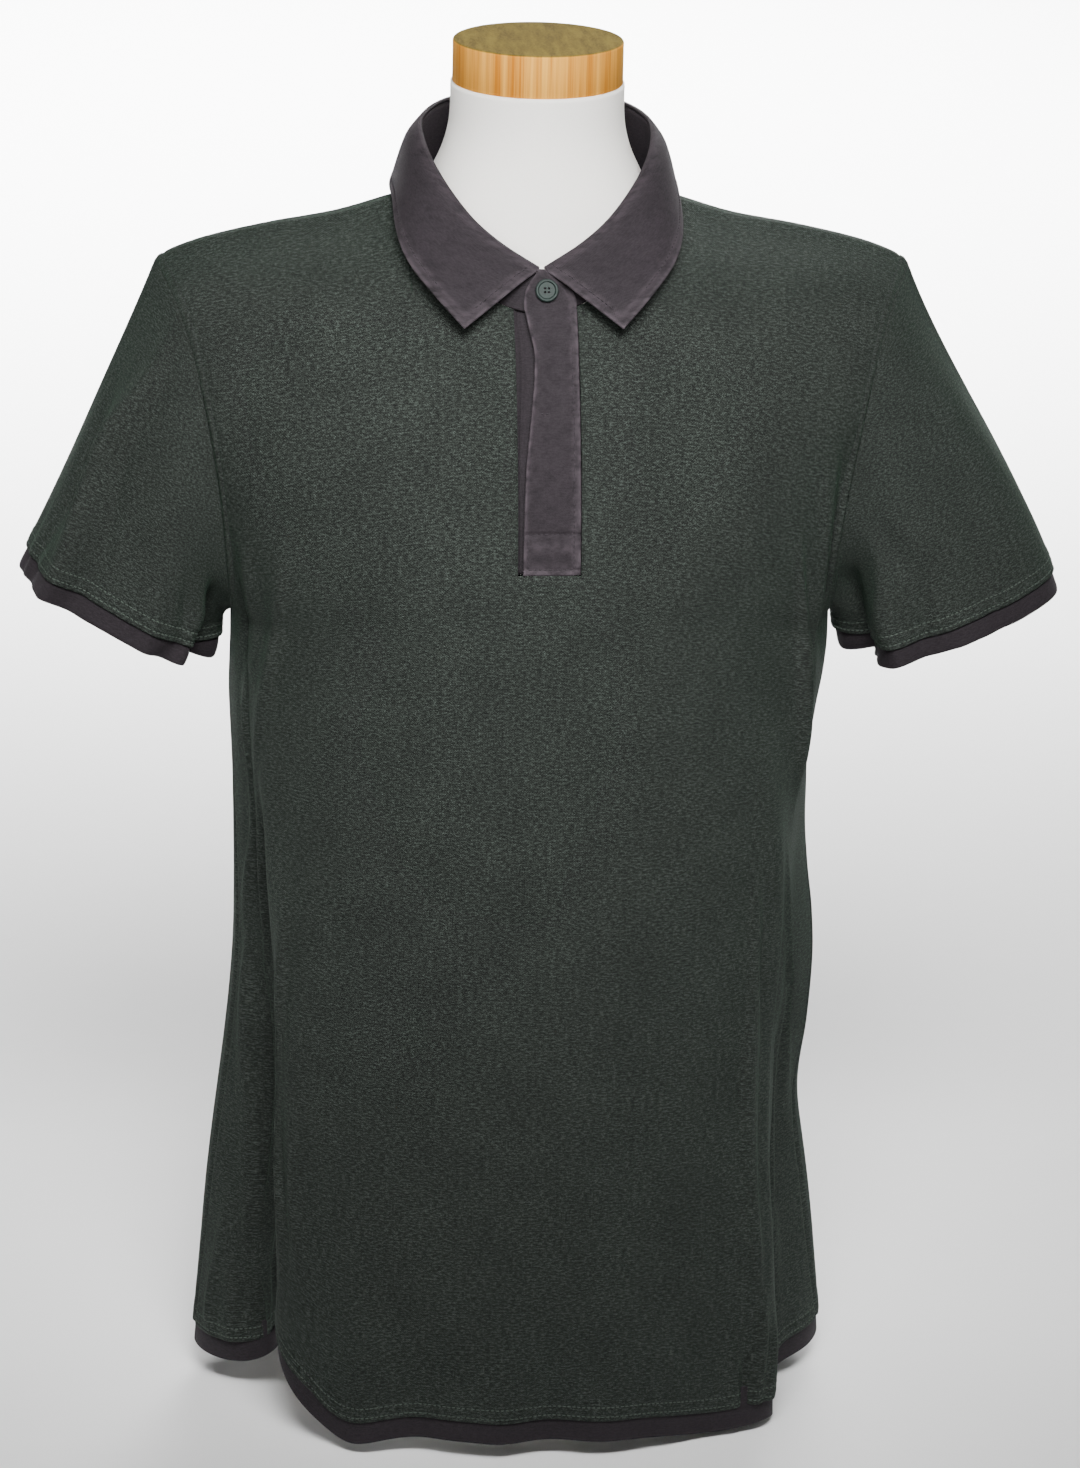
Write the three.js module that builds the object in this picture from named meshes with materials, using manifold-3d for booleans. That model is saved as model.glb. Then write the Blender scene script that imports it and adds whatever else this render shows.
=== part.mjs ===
// A short-sleeved polo shirt on a limbless dress form, in millimetres, +Z up.
// The shirt faces -Y and its wearer's left is +X. The origin is the middle of the form's foot, on
// the surface it stands on. Every cloth piece is a thin wall worked out from section tables:
// a panel is a grid of points, its folds push those points along the cloth's normal, and the wall is
// that grid moved out and in by half the cloth's thickness.
import * as THREE from "three";
import { mergeVertices } from "three/addons/utils/BufferGeometryUtils.js";
import Module from "manifold-3d";

// Driving dimensions
const PIQUE = 1.4; // wall of the knitted panels and sleeves
const WOVEN = 1.3; // wall of the collar, placket and edge bands
const SEAM = 0.22; // each edge stands back this far from its seam line
const LAYER = 0.4; // free space between two cloths that lie on each other
const HEM_RISE = 14.5; // how far the knitted hem ends above the woven band's lower edge
const NECK_HALF_WIDTH = 74;
const NECK_FRONT = 91; // from the shoulder ridge forward to the centre front neckline
const NECK_BACK = 53;
const RIDGE_Y = 5; // the shoulder seam's place, front to back
const UNDERARM_V = 0.674; // where the panels stop being joined to each other and meet the sleeve
const FRONT_SCALE = 205; // arc length that one unit of u covers at the middle of a panel
const SLIT_LEFT = -18.7; // the front's slit, from the placket's own centre line
const SLIT_RIGHT = 17;

// How finely the cloth is divided
const LOW_ROWS = 12; // rows of a panel from its woven band to the underarm
const HIGH_ROWS = 12; // and from the placket's foot to the neckline
const SIDE_COLUMNS = 11; // columns of a panel over each shoulder
const SLEEVE_ROWS = 9; // rows of a sleeve down to its woven band

// Each row is one section of the front, from the hem (v 0) to the shoulder seam (v 1).
// edge is the side seam or armhole point, mid the centre line, turn the angle at which the section
// meets its edge (90 runs straight back), flat and round its fullness at the middle and at the edge.
const FRONT_ROWS = [
  { v: 0.0, edgeX: 185, edgeY: 24, edgeZ: 44, midY: -109, midZ: 38, turn: 90, flat: 0.62, round: 0.6 },
  { v: 0.15, edgeX: 178, edgeY: 16, edgeZ: 150, midY: -113, midZ: 150, turn: 90, flat: 0.62, round: 0.58 },
  { v: 0.355, edgeX: 172, edgeY: 10, edgeZ: 299, midY: -117, midZ: 300, turn: 90, flat: 0.6, round: 0.56 },
  { v: 0.52, edgeX: 171.5, edgeY: 8, edgeZ: 419, midY: -119, midZ: 425, turn: 90, flat: 0.58, round: 0.56 },
  { v: 0.615, edgeX: 173, edgeY: 6, edgeZ: 484, midY: -120, midZ: 500, turn: 90, flat: 0.58, round: 0.56 },
  { v: 0.674, edgeX: 173, edgeY: 5, edgeZ: 523, midY: -121, midZ: 546, turn: 88, flat: 0.58, round: 0.56 },
  { v: 0.705, edgeX: 173.5, edgeY: -21, edgeZ: 535, midY: -121, midZ: 572, turn: 76, flat: 0.58, round: 0.5 },
  { v: 0.745, edgeX: 176, edgeY: -42, edgeZ: 565, midY: -119, midZ: 605, turn: 60, flat: 0.56, round: 0.42 },
  { v: 0.795, edgeX: 180, edgeY: -53, edgeZ: 607, midY: -114, midZ: 645, turn: 46, flat: 0.54, round: 0.36 },
  { v: 0.845, edgeX: 187, edgeY: -54, edgeZ: 651, midY: -105, midZ: 683, turn: 36, flat: 0.5, round: 0.34 },
  { v: 0.895, edgeX: 195, edgeY: -45, edgeZ: 688, midY: -89, midZ: 719, turn: 26, flat: 0.44, round: 0.33 },
  { v: 0.945, edgeX: 205, edgeY: -25, edgeZ: 716, midY: -58, midZ: 752, turn: 14, flat: 0.38, round: 0.33 },
  { v: 1.0, edgeX: 216.5, edgeY: 5, edgeZ: 732, midY: 5, midZ: 788, turn: 0, flat: 0.34, round: 0.33 },
];
// How far each section's centre line stands to the wearer's left.
const FRONT_LEANS = [
  { v: 0.15, lean: 0.8 },
  { v: 0.355, lean: 1.6 },
  { v: 0.52, lean: 3 },
  { v: 0.615, lean: 4 },
  { v: 0.674, lean: 4.7 },
  { v: 0.705, lean: 5 },
  { v: 0.745, lean: 4.8 },
  { v: 0.795, lean: 4 },
  { v: 0.845, lean: 3 },
  { v: 0.895, lean: 1.8 },
  { v: 0.945, lean: 0.4 },
];
const BACK_ROWS = [
  { v: 0.0, edgeX: 185, edgeY: 24, edgeZ: 44, midY: 118, midZ: 38, turn: 90, flat: 0.66, round: 0.62 },
  { v: 0.15, edgeX: 178, edgeY: 16, edgeZ: 150, midY: 116, midZ: 150, turn: 90, flat: 0.64, round: 0.6 },
  { v: 0.355, edgeX: 172, edgeY: 10, edgeZ: 299, midY: 112, midZ: 300, turn: 90, flat: 0.62, round: 0.58 },
  { v: 0.52, edgeX: 171.5, edgeY: 8, edgeZ: 419, midY: 109, midZ: 425, turn: 90, flat: 0.6, round: 0.56 },
  { v: 0.615, edgeX: 173, edgeY: 6, edgeZ: 484, midY: 109, midZ: 500, turn: 90, flat: 0.6, round: 0.56 },
  { v: 0.674, edgeX: 173, edgeY: 5, edgeZ: 523, midY: 110, midZ: 546, turn: 88, flat: 0.6, round: 0.56 },
  { v: 0.705, edgeX: 174, edgeY: 30, edgeZ: 535, midY: 111, midZ: 573, turn: 74, flat: 0.6, round: 0.5 },
  { v: 0.745, edgeX: 178, edgeY: 50, edgeZ: 565, midY: 112, midZ: 606, turn: 56, flat: 0.58, round: 0.42 },
  { v: 0.795, edgeX: 183, edgeY: 60, edgeZ: 607, midY: 110, midZ: 648, turn: 42, flat: 0.54, round: 0.36 },
  { v: 0.845, edgeX: 191, edgeY: 60, edgeZ: 651, midY: 103, midZ: 688, turn: 32, flat: 0.5, round: 0.34 },
  { v: 0.895, edgeX: 199, edgeY: 50, edgeZ: 688, midY: 90, midZ: 725, turn: 22, flat: 0.44, round: 0.33 },
  { v: 0.945, edgeX: 208, edgeY: 30, edgeZ: 716, midY: 66, midZ: 757, turn: 12, flat: 0.38, round: 0.33 },
  { v: 1.0, edgeX: 216.5, edgeY: 5, edgeZ: 732, midY: 5, midZ: 788, turn: 0, flat: 0.34, round: 0.33 },
];
// The shoulder seam's height over its reach from the centre, as a share of the whole drop.
const SHOULDER_LINE = [
  { reach: 0.0, drop: 0.0 },
  { reach: 0.342, drop: 0.286 },
  { reach: 0.52, drop: 0.49 },
  { reach: 0.7, drop: 0.62 },
  { reach: 0.86, drop: 0.765 },
  { reach: 0.95, drop: 0.89 },
  { reach: 1.0, drop: 1.0 },
];
// Long soft folds of the body. around is the distance from the centre front along the cloth at the
// fold's low and high end (past the side seam it is on the back), side is -1 or 1, depth is out of
// the cloth's rest shape, and width is the half width of the swell.
const BODY_FOLDS = [
  { side: -1, lowZ: 30, highZ: 530, lowAround: 193, highAround: 203, depth: -27, width: 33, fade: 320 },
  { side: -1, lowZ: 30, highZ: 420, lowAround: 144, highAround: 150, depth: 7, width: 20, fade: 200 },
  { side: -1, lowZ: 170, highZ: 530, lowAround: 172, highAround: 176, depth: 5, width: 13, fade: 120 },
  { side: -1, lowZ: 30, highZ: 330, lowAround: 262, highAround: 250, depth: 9, width: 30, fade: 200 },
  { side: 1, lowZ: 30, highZ: 500, lowAround: 212, highAround: 208, depth: -22, width: 32, fade: 310 },
  { side: 1, lowZ: 30, highZ: 270, lowAround: 158, highAround: 148, depth: 8, width: 20, fade: 120 },
  { side: 1, lowZ: 250, highZ: 500, lowAround: 184, highAround: 136, depth: 5, width: 15, fade: 110 },
  { side: 1, lowZ: 30, highZ: 240, lowAround: 280, highAround: 262, depth: 12, width: 34, fade: 130 },
  { side: 1, lowZ: 190, highZ: 500, lowAround: 238, highAround: 238, depth: 7, width: 40, fade: 110 },
  { side: 1, lowZ: 400, highZ: 600, lowAround: 182, highAround: 172, depth: 6, width: 15, fade: 70 },
  { side: 1, lowZ: 330, highZ: 490, lowAround: 236, highAround: 236, depth: -7, width: 45, fade: 70 },
  { side: 1, lowZ: 200, highZ: 360, lowAround: 236, highAround: 236, depth: 4.5, width: 36, fade: 60 },
  { side: 1, lowZ: 30, highZ: 130, lowAround: 238, highAround: 236, depth: 5, width: 22, fade: 90 },
  { side: 1, lowZ: 465, highZ: 565, lowAround: 236, highAround: 236, depth: 4, width: 45, fade: 45 },
  { side: -1, lowZ: 465, highZ: 565, lowAround: 236, highAround: 236, depth: -1.5, width: 45, fade: 45 },
  { side: -1, lowZ: 30, highZ: 460, lowAround: 372, highAround: 380, depth: 8, width: 26, fade: 220 },
  { side: 1, lowZ: 30, highZ: 420, lowAround: 366, highAround: 376, depth: 9, width: 28, fade: 220 },
  { side: -1, lowZ: 30, highZ: 400, lowAround: 448, highAround: 430, depth: -6, width: 24, fade: 220 },
  { side: 1, lowZ: 30, highZ: 480, lowAround: 428, highAround: 440, depth: -7, width: 24, fade: 240 },
];
// Low waves that the hem hangs in: place along the front from the centre, size and half width.
const HEM_WAVES = [
  { around: -98, depth: 6, width: 17 },
  { around: -62, depth: -4, width: 16 },
  { around: -14, depth: 3, width: 15 },
  { around: 16, depth: -4, width: 16 },
  { around: 52, depth: 3.5, width: 20 },
  { around: 112, depth: -3, width: 18 },
];
const WAVE_FADE = 90; // the waves have died out this far above the hem
// Where the hem hangs higher or lower than its section: place round from the centre front, and height.
const HEM_LIFTS = [
  { around: -166, rise: 36, width: 34 },
  { around: -108, rise: -6, width: 24 },
  { around: 128, rise: -9, width: 42 },
  { around: 192, rise: -20, width: 24 },
  { around: 238, rise: -2, width: 24 },
];
const LIFT_FADE = 220; // the lifts have died out this far above the hem

// Each sleeve's lower edge is an ellipse across the sleeve's own axis.
const CUFFS = [
  { side: -1, x: 238.5, y: 6.5, z: 520, reach: 64, depth: 57, tilt: 27.6 },
  { side: 1, x: 248.5, y: 6.5, z: 515, reach: 66.1, depth: 56, tilt: 19 },
];
const CUFF_RISE = 12.5; // how far the knitted sleeve ends above its woven band's lower edge
const BAND_TUCK = 12; // how far each woven band reaches up behind its hem
// How the sleeve leaves the armhole, from the underarm (share 0) to the shoulder tip (share 1).
const SLEEVE_START = [
  { share: 0.0, outward: 0.98, down: 0.1, pull: 66 },
  { share: 0.25, outward: 0.88, down: 0.46, pull: 90 },
  { share: 0.6, outward: 0.62, down: 0.78, pull: 150 },
  { share: 1.0, outward: 0.36, down: 0.93, pull: 184 },
];
// Folds of the sleeves: turn is the place round the sleeve in degrees (0 the outer edge, 90 the
// front, 180 the underside), at the armhole and at the cuff.
const SLEEVE_FOLDS = [
  { side: -1, highTurn: 20, lowTurn: 38, depth: 7, width: 22, start: 0.05 },
  { side: -1, highTurn: 62, lowTurn: 74, depth: -6, width: 24, start: 0.1 },
  { side: -1, highTurn: 150, lowTurn: 160, depth: -8, width: 26, start: 0.3 },
  { side: -1, highTurn: 182, lowTurn: 184, depth: 5, width: 22, start: 0.12 },
  { side: -1, highTurn: 250, lowTurn: 240, depth: -6, width: 30, start: 0.15 },
  { side: 1, highTurn: 30, lowTurn: 20, depth: 4, width: 20, start: 0.1 },
  { side: 1, highTurn: 100, lowTurn: 128, depth: 8, width: 24, start: 0.15 },
  { side: 1, highTurn: 150, lowTurn: 168, depth: -9, width: 22, start: 0.25 },
  { side: 1, highTurn: 184, lowTurn: 186, depth: 4, width: 20, start: 0.12 },
  { side: 1, highTurn: 240, lowTurn: 250, depth: -6, width: 30, start: 0.15 },
];

// The collar round the neck, from the centre back (turn 0) to the centre front (turn 180). fold is
// the top edge where the leaf turns over, leaf its outer edge.
const COLLAR_ROWS = [
  { turn: 0, foldX: 0, foldY: 60, foldZ: 817, leafX: 0, leafY: 80, leafZ: 770 },
  { turn: 40, foldX: 43, foldY: 49, foldZ: 816, leafX: 55, leafY: 70, leafZ: 770 },
  { turn: 75, foldX: 63.5, foldY: 17, foldZ: 812, leafX: 80, leafY: 30, leafZ: 772 },
  { turn: 100, foldX: 64.5, foldY: -12, foldZ: 804, leafX: 81.5, leafY: -14, leafZ: 769 },
  { turn: 125, foldX: 56, foldY: -39, foldZ: 790, leafX: 80, leafY: -50, leafZ: 758 },
  { turn: 145, foldX: 40, foldY: -57, foldZ: 771.5, leafX: 73.5, leafY: -74, leafZ: 747.5 },
  { turn: 162, foldX: 23, foldY: -69.5, foldZ: 759, leafX: 60, leafY: -93, leafZ: 734.5 },
  { turn: 180, foldX: 0.6, foldY: -78, foldZ: 746.5, leafX: 43.6, leafY: -105, leafZ: 718.5 },
];
const COLLAR_LEAN = -1.6; // the collar's front stands this far to the wearer's left
const LEAF_SPRING = 4.6; // how far the leaf bulges out between its fold and its edge
const STAND_EASE = 0.9; // free space between the stand's top edge and the leaf's fold
// The leaf's section over the fold: how far out and how far up from it.
const LEAF_ROLL = [
  { out: -0.7, up: 0 },
  { out: 0.9, up: 0.1 },
  { out: 2.4, up: -0.9 },
];

// The placket's upper band: its free edge and its sewn edge, in x, over the height.
const PLACKET_ROWS = [
  { z: 581, free: -11.6, sewn: 22 },
  { z: 605, free: -11.5, sewn: 22 },
  { z: 640, free: -10.7, sewn: 22 },
  { z: 665, free: -8.6, sewn: 22 },
  { z: 690, free: -6.4, sewn: 22 },
  { z: 705, free: -6.6, sewn: 22 },
  { z: 716, free: -9.4, sewn: 21 },
  { z: 726, free: -11.4, sewn: 18.6 },
  { z: 734, free: -10.6, sewn: 15.5 },
  { z: 738, free: -8.8, sewn: 11 },
  { z: 741, free: -6.6, sewn: 5.8 },
  { z: 744.2, free: -2.9, sewn: 0.6 },
];
const BUTTON = { x: 1, z: 735, radius: 6.4, thick: 2.6, rim: 1.3, holeRadius: 0.75, holeReach: 1.5 };

// The dress form, as its distance inside the panels' rest surface, over v.
const FORM_ROWS = [
  { v: 0.0, ease: 35 },
  { v: 0.3, ease: 31 },
  { v: 0.5, ease: 23 },
  { v: 0.62, ease: 14 },
  { v: 0.7, ease: 7.5 },
  { v: 0.8, ease: 4.4 },
  { v: 0.92, ease: 2.6 },
  { v: 1.0, ease: 1.5 },
];
const FORM_PLACKET_EASE = 2.6; // and this much more behind the placket
const FORM_LOW_V = 0.045;
const FORM_SIDE_SHARE = 0.965; // the form's arm ends are cut off this far out to the armhole
const NECK_ROWS = [
  { z: 700, halfX: 68, halfY: 54, y: -2 },
  { z: 745, halfX: 71, halfY: 57, y: -3 },
  { z: 768, halfX: 68, halfY: 54.5, y: -3 },
  { z: 785, halfX: 60, halfY: 52, y: -2 },
  { z: 800, halfX: 53.2, halfY: 50, y: -1 },
  { z: 815, halfX: 49.8, halfY: 49.2, y: 0 },
  { z: 836, halfX: 49.3, halfY: 49, y: 0 },
];
const CAP = { radius: 48.4, low: 836.3, high: 860.3, edge: 1.2 };
const FOOT = { halfX: 125, halfY: 62, edge: 4, gap: 0.3 };
const FLOOR = 25; // the tables measure heights from a level this far under the floor

const COLOURS = {
  pique: "#3b4640",
  woven: "#4a4249",
  button: "#3f5f58",
  form: "#f1ece0",
  wood: "#dcb98a",
};

const wasm = await Module();
wasm.setup();

// Reads a table's columns smoothly between its rows: a cubic through each value, with the slope of
// the line between the neighbours.
function tableReader(rows, key) {
  const names = Object.keys(rows[0]).filter((name) => name !== key);
  const slope = (name, i) => {
    const a = rows[Math.max(i - 1, 0)];
    const b = rows[Math.min(i + 1, rows.length - 1)];
    return (b[name] - a[name]) / (b[key] - a[key]);
  };
  return (at) => {
    const last = rows.length - 2;
    let i = 0;
    while (i < last && at > rows[i + 1][key]) i++;
    const span = rows[i + 1][key] - rows[i][key];
    const t = THREE.MathUtils.clamp((at - rows[i][key]) / span, 0, 1);
    const read = {};
    for (const name of names) {
      const a = rows[i][name];
      const b = rows[i + 1][name];
      const rise = slope(name, i) * span;
      const fall = slope(name, i + 1) * span;
      const t2 = t * t;
      const t3 = t2 * t;
      read[name] = a * (2 * t3 - 3 * t2 + 1) + rise * (t3 - 2 * t2 + t);
      read[name] += b * (3 * t2 - 2 * t3) + fall * (t3 - t2);
    }
    return read;
  };
}

const smooth = (t) => THREE.MathUtils.smoothstep(t, 0, 1);
const swell = (distance, width) => Math.exp(-((distance / width) ** 2));
const shoulderLine = tableReader(SHOULDER_LINE, "reach");

// A panel's rest surface. It gives the point for u (-1 the right side, 1 the left) and v, and the
// length of half a section.
function panelSurface(sections, leans = []) {
  const leanOf = (row) => leans.find(({ v }) => v === row.v)?.lean ?? 0;
  const rows = sections.map((row) => ({ ...row, lean: leanOf(row) }));
  const below = tableReader(rows.filter((row) => row.v <= UNDERARM_V), "v");
  const above = tableReader(rows.filter((row) => row.v >= UNDERARM_V), "v");
  const samples = 48;
  const known = new Map();
  const section = (v) => {
    if (known.has(v)) return known.get(v);
    const row = v < UNDERARM_V ? below(v) : above(v);
    const angle = THREE.MathUtils.degToRad(row.turn);
    const depth = row.edgeY - row.midY;
    const pull = row.round * Math.hypot(depth * Math.sin(angle), row.edgeX * Math.cos(angle));
    const away = Math.sign(depth) || 1;
    const half = new THREE.CubicBezierCurve(
      new THREE.Vector2(0, row.midY),
      new THREE.Vector2(row.flat * row.edgeX, row.midY),
      new THREE.Vector2(row.edgeX - pull * Math.cos(angle), row.edgeY - away * pull * Math.sin(angle)),
      new THREE.Vector2(row.edgeX, row.edgeY),
    );
    half.arcLengthDivisions = samples;
    const made = { row, half, length: half.getLength() };
    known.set(v, made);
    return made;
  };
  const point = (u, v) => {
    const { row, half, length } = section(v);
    const side = Math.sign(u) || 1;
    const share = Math.abs(u);
    const lean = row.lean * (1 - share) ** 2;
    const along = side * (FRONT_SCALE * share + (length - FRONT_SCALE) * share ** 3) + lean;
    const at = half.getPointAt(Math.min(Math.abs(along) / length, 1));
    const reach = at.x / row.edgeX;
    const flatDrop = reach ** THREE.MathUtils.lerp(5, 2, smooth(v / 0.3));
    const high = smooth((v - 0.86) / 0.14);
    const drop = THREE.MathUtils.lerp(flatDrop, shoulderLine(reach).drop, high);
    return new THREE.Vector3(
      Math.sign(along) * at.x,
      at.y,
      THREE.MathUtils.lerp(row.midZ, row.edgeZ, drop),
    );
  };
  const around = (u, v) => {
    const { row, length } = section(v);
    const share = Math.abs(u);
    const even = FRONT_SCALE * share + (length - FRONT_SCALE) * share ** 3;
    return Math.sign(u) * even + row.lean * (1 - share) ** 2;
  };
  return { point, around, length: (v) => section(v).length };
}

const HEM_Z = FRONT_ROWS[0].midZ;
const frontSurface = panelSurface(FRONT_ROWS, FRONT_LEANS);
const backSurface = panelSurface(BACK_ROWS);

// How far the folds push the cloth out at a height and a distance round from the centre front.
function bodyFold(around, z) {
  let push = 0;
  for (const fold of BODY_FOLDS) {
    if (Math.sign(around) !== fold.side) continue;
    const rise = THREE.MathUtils.clamp((z - fold.lowZ) / (fold.highZ - fold.lowZ), 0, 1);
    const centre = THREE.MathUtils.lerp(fold.lowAround, fold.highAround, rise);
    const dieUp = smooth((fold.highZ - z) / fold.fade);
    const dieDown = fold.lowZ < 50 ? 1 : smooth((z - fold.lowZ) / fold.fade);
    push += fold.depth * dieUp * dieDown * swell(Math.abs(around) - centre, fold.width);
  }
  const low = smooth((HEM_Z + WAVE_FADE - z) / WAVE_FADE);
  if (low > 0) {
    for (const wave of HEM_WAVES) push += wave.depth * low * swell(around - wave.around, wave.width);
  }
  return push;
}

// How far the hem's cloth hangs over or under its section.
function hemLift(around, z) {
  const low = smooth((HEM_Z + LIFT_FADE - z) / LIFT_FADE);
  let rise = 0;
  for (const lift of HEM_LIFTS) rise += lift.rise * low * swell(around - lift.around, lift.width);
  return rise;
}

// The height share v at which a surface's middle reaches z.
function findV(surface, z, u = 0) {
  let low = 0;
  let high = 1;
  for (let i = 0; i < 40; i++) {
    const v = (low + high) / 2;
    if (surface.point(u, v).z < z) low = v;
    else high = v;
  }
  return (low + high) / 2;
}

function spread(from, to, count) {
  return Array.from({ length: count }, (_, i) => from + ((to - from) * i) / (count - 1));
}

// The rows of a panel. One lies exactly at the top of the woven band, at the underarm and at the
// placket's foot.
const HEM_V = findV(frontSurface, HEM_Z + HEM_RISE);
const BAND_V = findV(frontSurface, HEM_Z + HEM_RISE + BAND_TUCK);
const PLACKET_FOOT_V = findV(frontSurface, PLACKET_ROWS[0].z);
const PANEL_V = [
  HEM_V,
  ...spread(BAND_V, UNDERARM_V, LOW_ROWS),
  (UNDERARM_V + PLACKET_FOOT_V) / 2,
  ...spread(PLACKET_FOOT_V, 1, HIGH_ROWS),
];
const UNDERARM_ROW = LOW_ROWS;
const FOOT_ROW = LOW_ROWS + 2;
const TOP_ROW = PANEL_V.length - 1;

// The columns of a panel, by their share of half its width: evenly round the neckline to the high
// point of the shoulder, then closer together towards the side.
const neckShare = shareAtWidth(frontSurface, NECK_HALF_WIDTH);
const slitTurn = Math.asin(SLIT_RIGHT / FRONT_SCALE / neckShare);
const SHARES = [
  ...spread(slitTurn, Math.PI / 2, 6).map((turn) => neckShare * Math.sin(turn)),
  ...spread(1, 0, SIDE_COLUMNS).slice(1).map((t) => 1 - (1 - neckShare) * t ** 1.3),
];

function shareAtWidth(surface, width) {
  let low = 0;
  let high = 1;
  for (let i = 0; i < 40; i++) {
    const u = (low + high) / 2;
    if (surface.point(u, 1).x < width) low = u;
    else high = u;
  }
  return (low + high) / 2;
}

const outerShares = SHARES.slice(1);
const PANEL_U = [
  ...outerShares.map((u) => -u).reverse(),
  SLIT_LEFT / FRONT_SCALE,
  0,
  SLIT_RIGHT / FRONT_SCALE,
  ...outerShares,
];
const LAST_COLUMN = PANEL_U.length - 1;
const isNeck = (u) => Math.abs(u) <= neckShare + 1e-9;

// How far inside the neckline a place is, seen from above: under 1 inside, 1 on it.
function neckReach(p, depth) {
  const lean = depth === NECK_FRONT ? COLLAR_LEAN * smooth((RIDGE_Y - p.y) / depth) : 0;
  return ((p.x - lean) / NECK_HALF_WIDTH) ** 2 + ((p.y - RIDGE_Y) / depth) ** 2;
}

// Where a column of the panel meets the neckline, or 1 beyond the high point of the shoulder.
function neckV(surface, u, depth) {
  if (Math.abs(u) >= neckShare - 1e-9) return 1;
  let low = 0.7;
  let high = 1;
  for (let i = 0; i < 40; i++) {
    const v = (low + high) / 2;
    if (neckReach(surface.point(u, v), depth) < 1) high = v;
    else low = v;
  }
  return (low + high) / 2;
}

// The grid of a panel's rest points. Over the placket's foot each column is shortened to the neckline.
function panelGrid(surface, neckDepth, rows) {
  const tops = PANEL_U.map((u) => neckV(surface, u, neckDepth));
  const start = PLACKET_FOOT_V;
  return rows.map((v) =>
    PANEL_U.map((u, j) => {
      const fitted = v <= start ? v : start + ((v - start) * (tops[j] - start)) / (1 - start);
      return { u, v: fitted, point: surface.point(u, fitted) };
    }),
  );
}

// Unit normals of a grid of points, turned to face away from inside(point).
function gridNormals(points, wrap, inside) {
  const rows = points.length;
  const columns = points[0].length;
  return points.map((row, i) =>
    row.map((p, j) => {
      const west = wrap ? row[(j + columns - 1) % columns] : row[Math.max(j - 1, 0)];
      const east = wrap ? row[(j + 1) % columns] : row[Math.min(j + 1, columns - 1)];
      const south = points[Math.max(i - 1, 0)][j];
      const north = points[Math.min(i + 1, rows - 1)][j];
      const normal = east.clone().sub(west).cross(north.clone().sub(south)).normalize();
      return normal.dot(p.clone().sub(inside(p))) < 0 ? normal.negate() : normal;
    }),
  );
}

const bodyInside = (p) => new THREE.Vector3(p.x * 0.6, RIDGE_Y, Math.min(p.z, 690));

// Sets the two normals of a seam to their mean.
function share(a, b, i, j) {
  const mean = a[i][j].clone().add(b[i][j]).normalize();
  a[i][j] = mean;
  b[i][j] = mean.clone();
}

// The side seams run up to the underarm, and the shoulder seams along the last row.
function shareBodySeams(front, back, rows) {
  rows.forEach((v, i) => {
    if (v > UNDERARM_V + 1e-9) return;
    share(front, back, i, 0);
    share(front, back, i, LAST_COLUMN);
  });
  if (rows.at(-1) < 1) return;
  PANEL_U.forEach((u, j) => {
    if (Math.abs(u) >= neckShare - 1e-9) share(front, back, rows.length - 1, j);
  });
}

// The distance from the centre front round to a point of either panel, signed by side.
function bodyAround(onBack, u, v) {
  if (!onBack) return frontSurface.around(u, v) || 1e-6;
  const side = Math.sign(u) || 1;
  return side * (frontSurface.length(v) + backSurface.length(v) - Math.abs(backSurface.around(u, v)));
}

// The front and the back with their folds, for a list of rows.
function makeBody(rows) {
  const grids = [panelGrid(frontSurface, NECK_FRONT, rows), panelGrid(backSurface, NECK_BACK, rows)];
  const rest = grids.map((grid) => grid.map((row) => row.map((cell) => cell.point)));
  const restNormals = rest.map((points) => gridNormals(points, false, bodyInside));
  shareBodySeams(...restNormals, rows);
  const folded = grids.map((grid, n) =>
    grid.map((row, i) =>
      row.map((cell, j) => {
        const around = bodyAround(n === 1, cell.u, cell.v);
        const push = bodyFold(around, cell.point.z);
        const point = cell.point.clone().addScaledVector(restNormals[n][i][j], push);
        point.z += hemLift(around, cell.point.z);
        return point;
      }),
    ),
  );
  const normals = folded.map((points) => gridNormals(points, false, bodyInside));
  shareBodySeams(...normals, rows);
  const [front, back] = folded.map((points, n) => ({ points, normals: normals[n] }));
  return { front, back };
}

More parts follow.
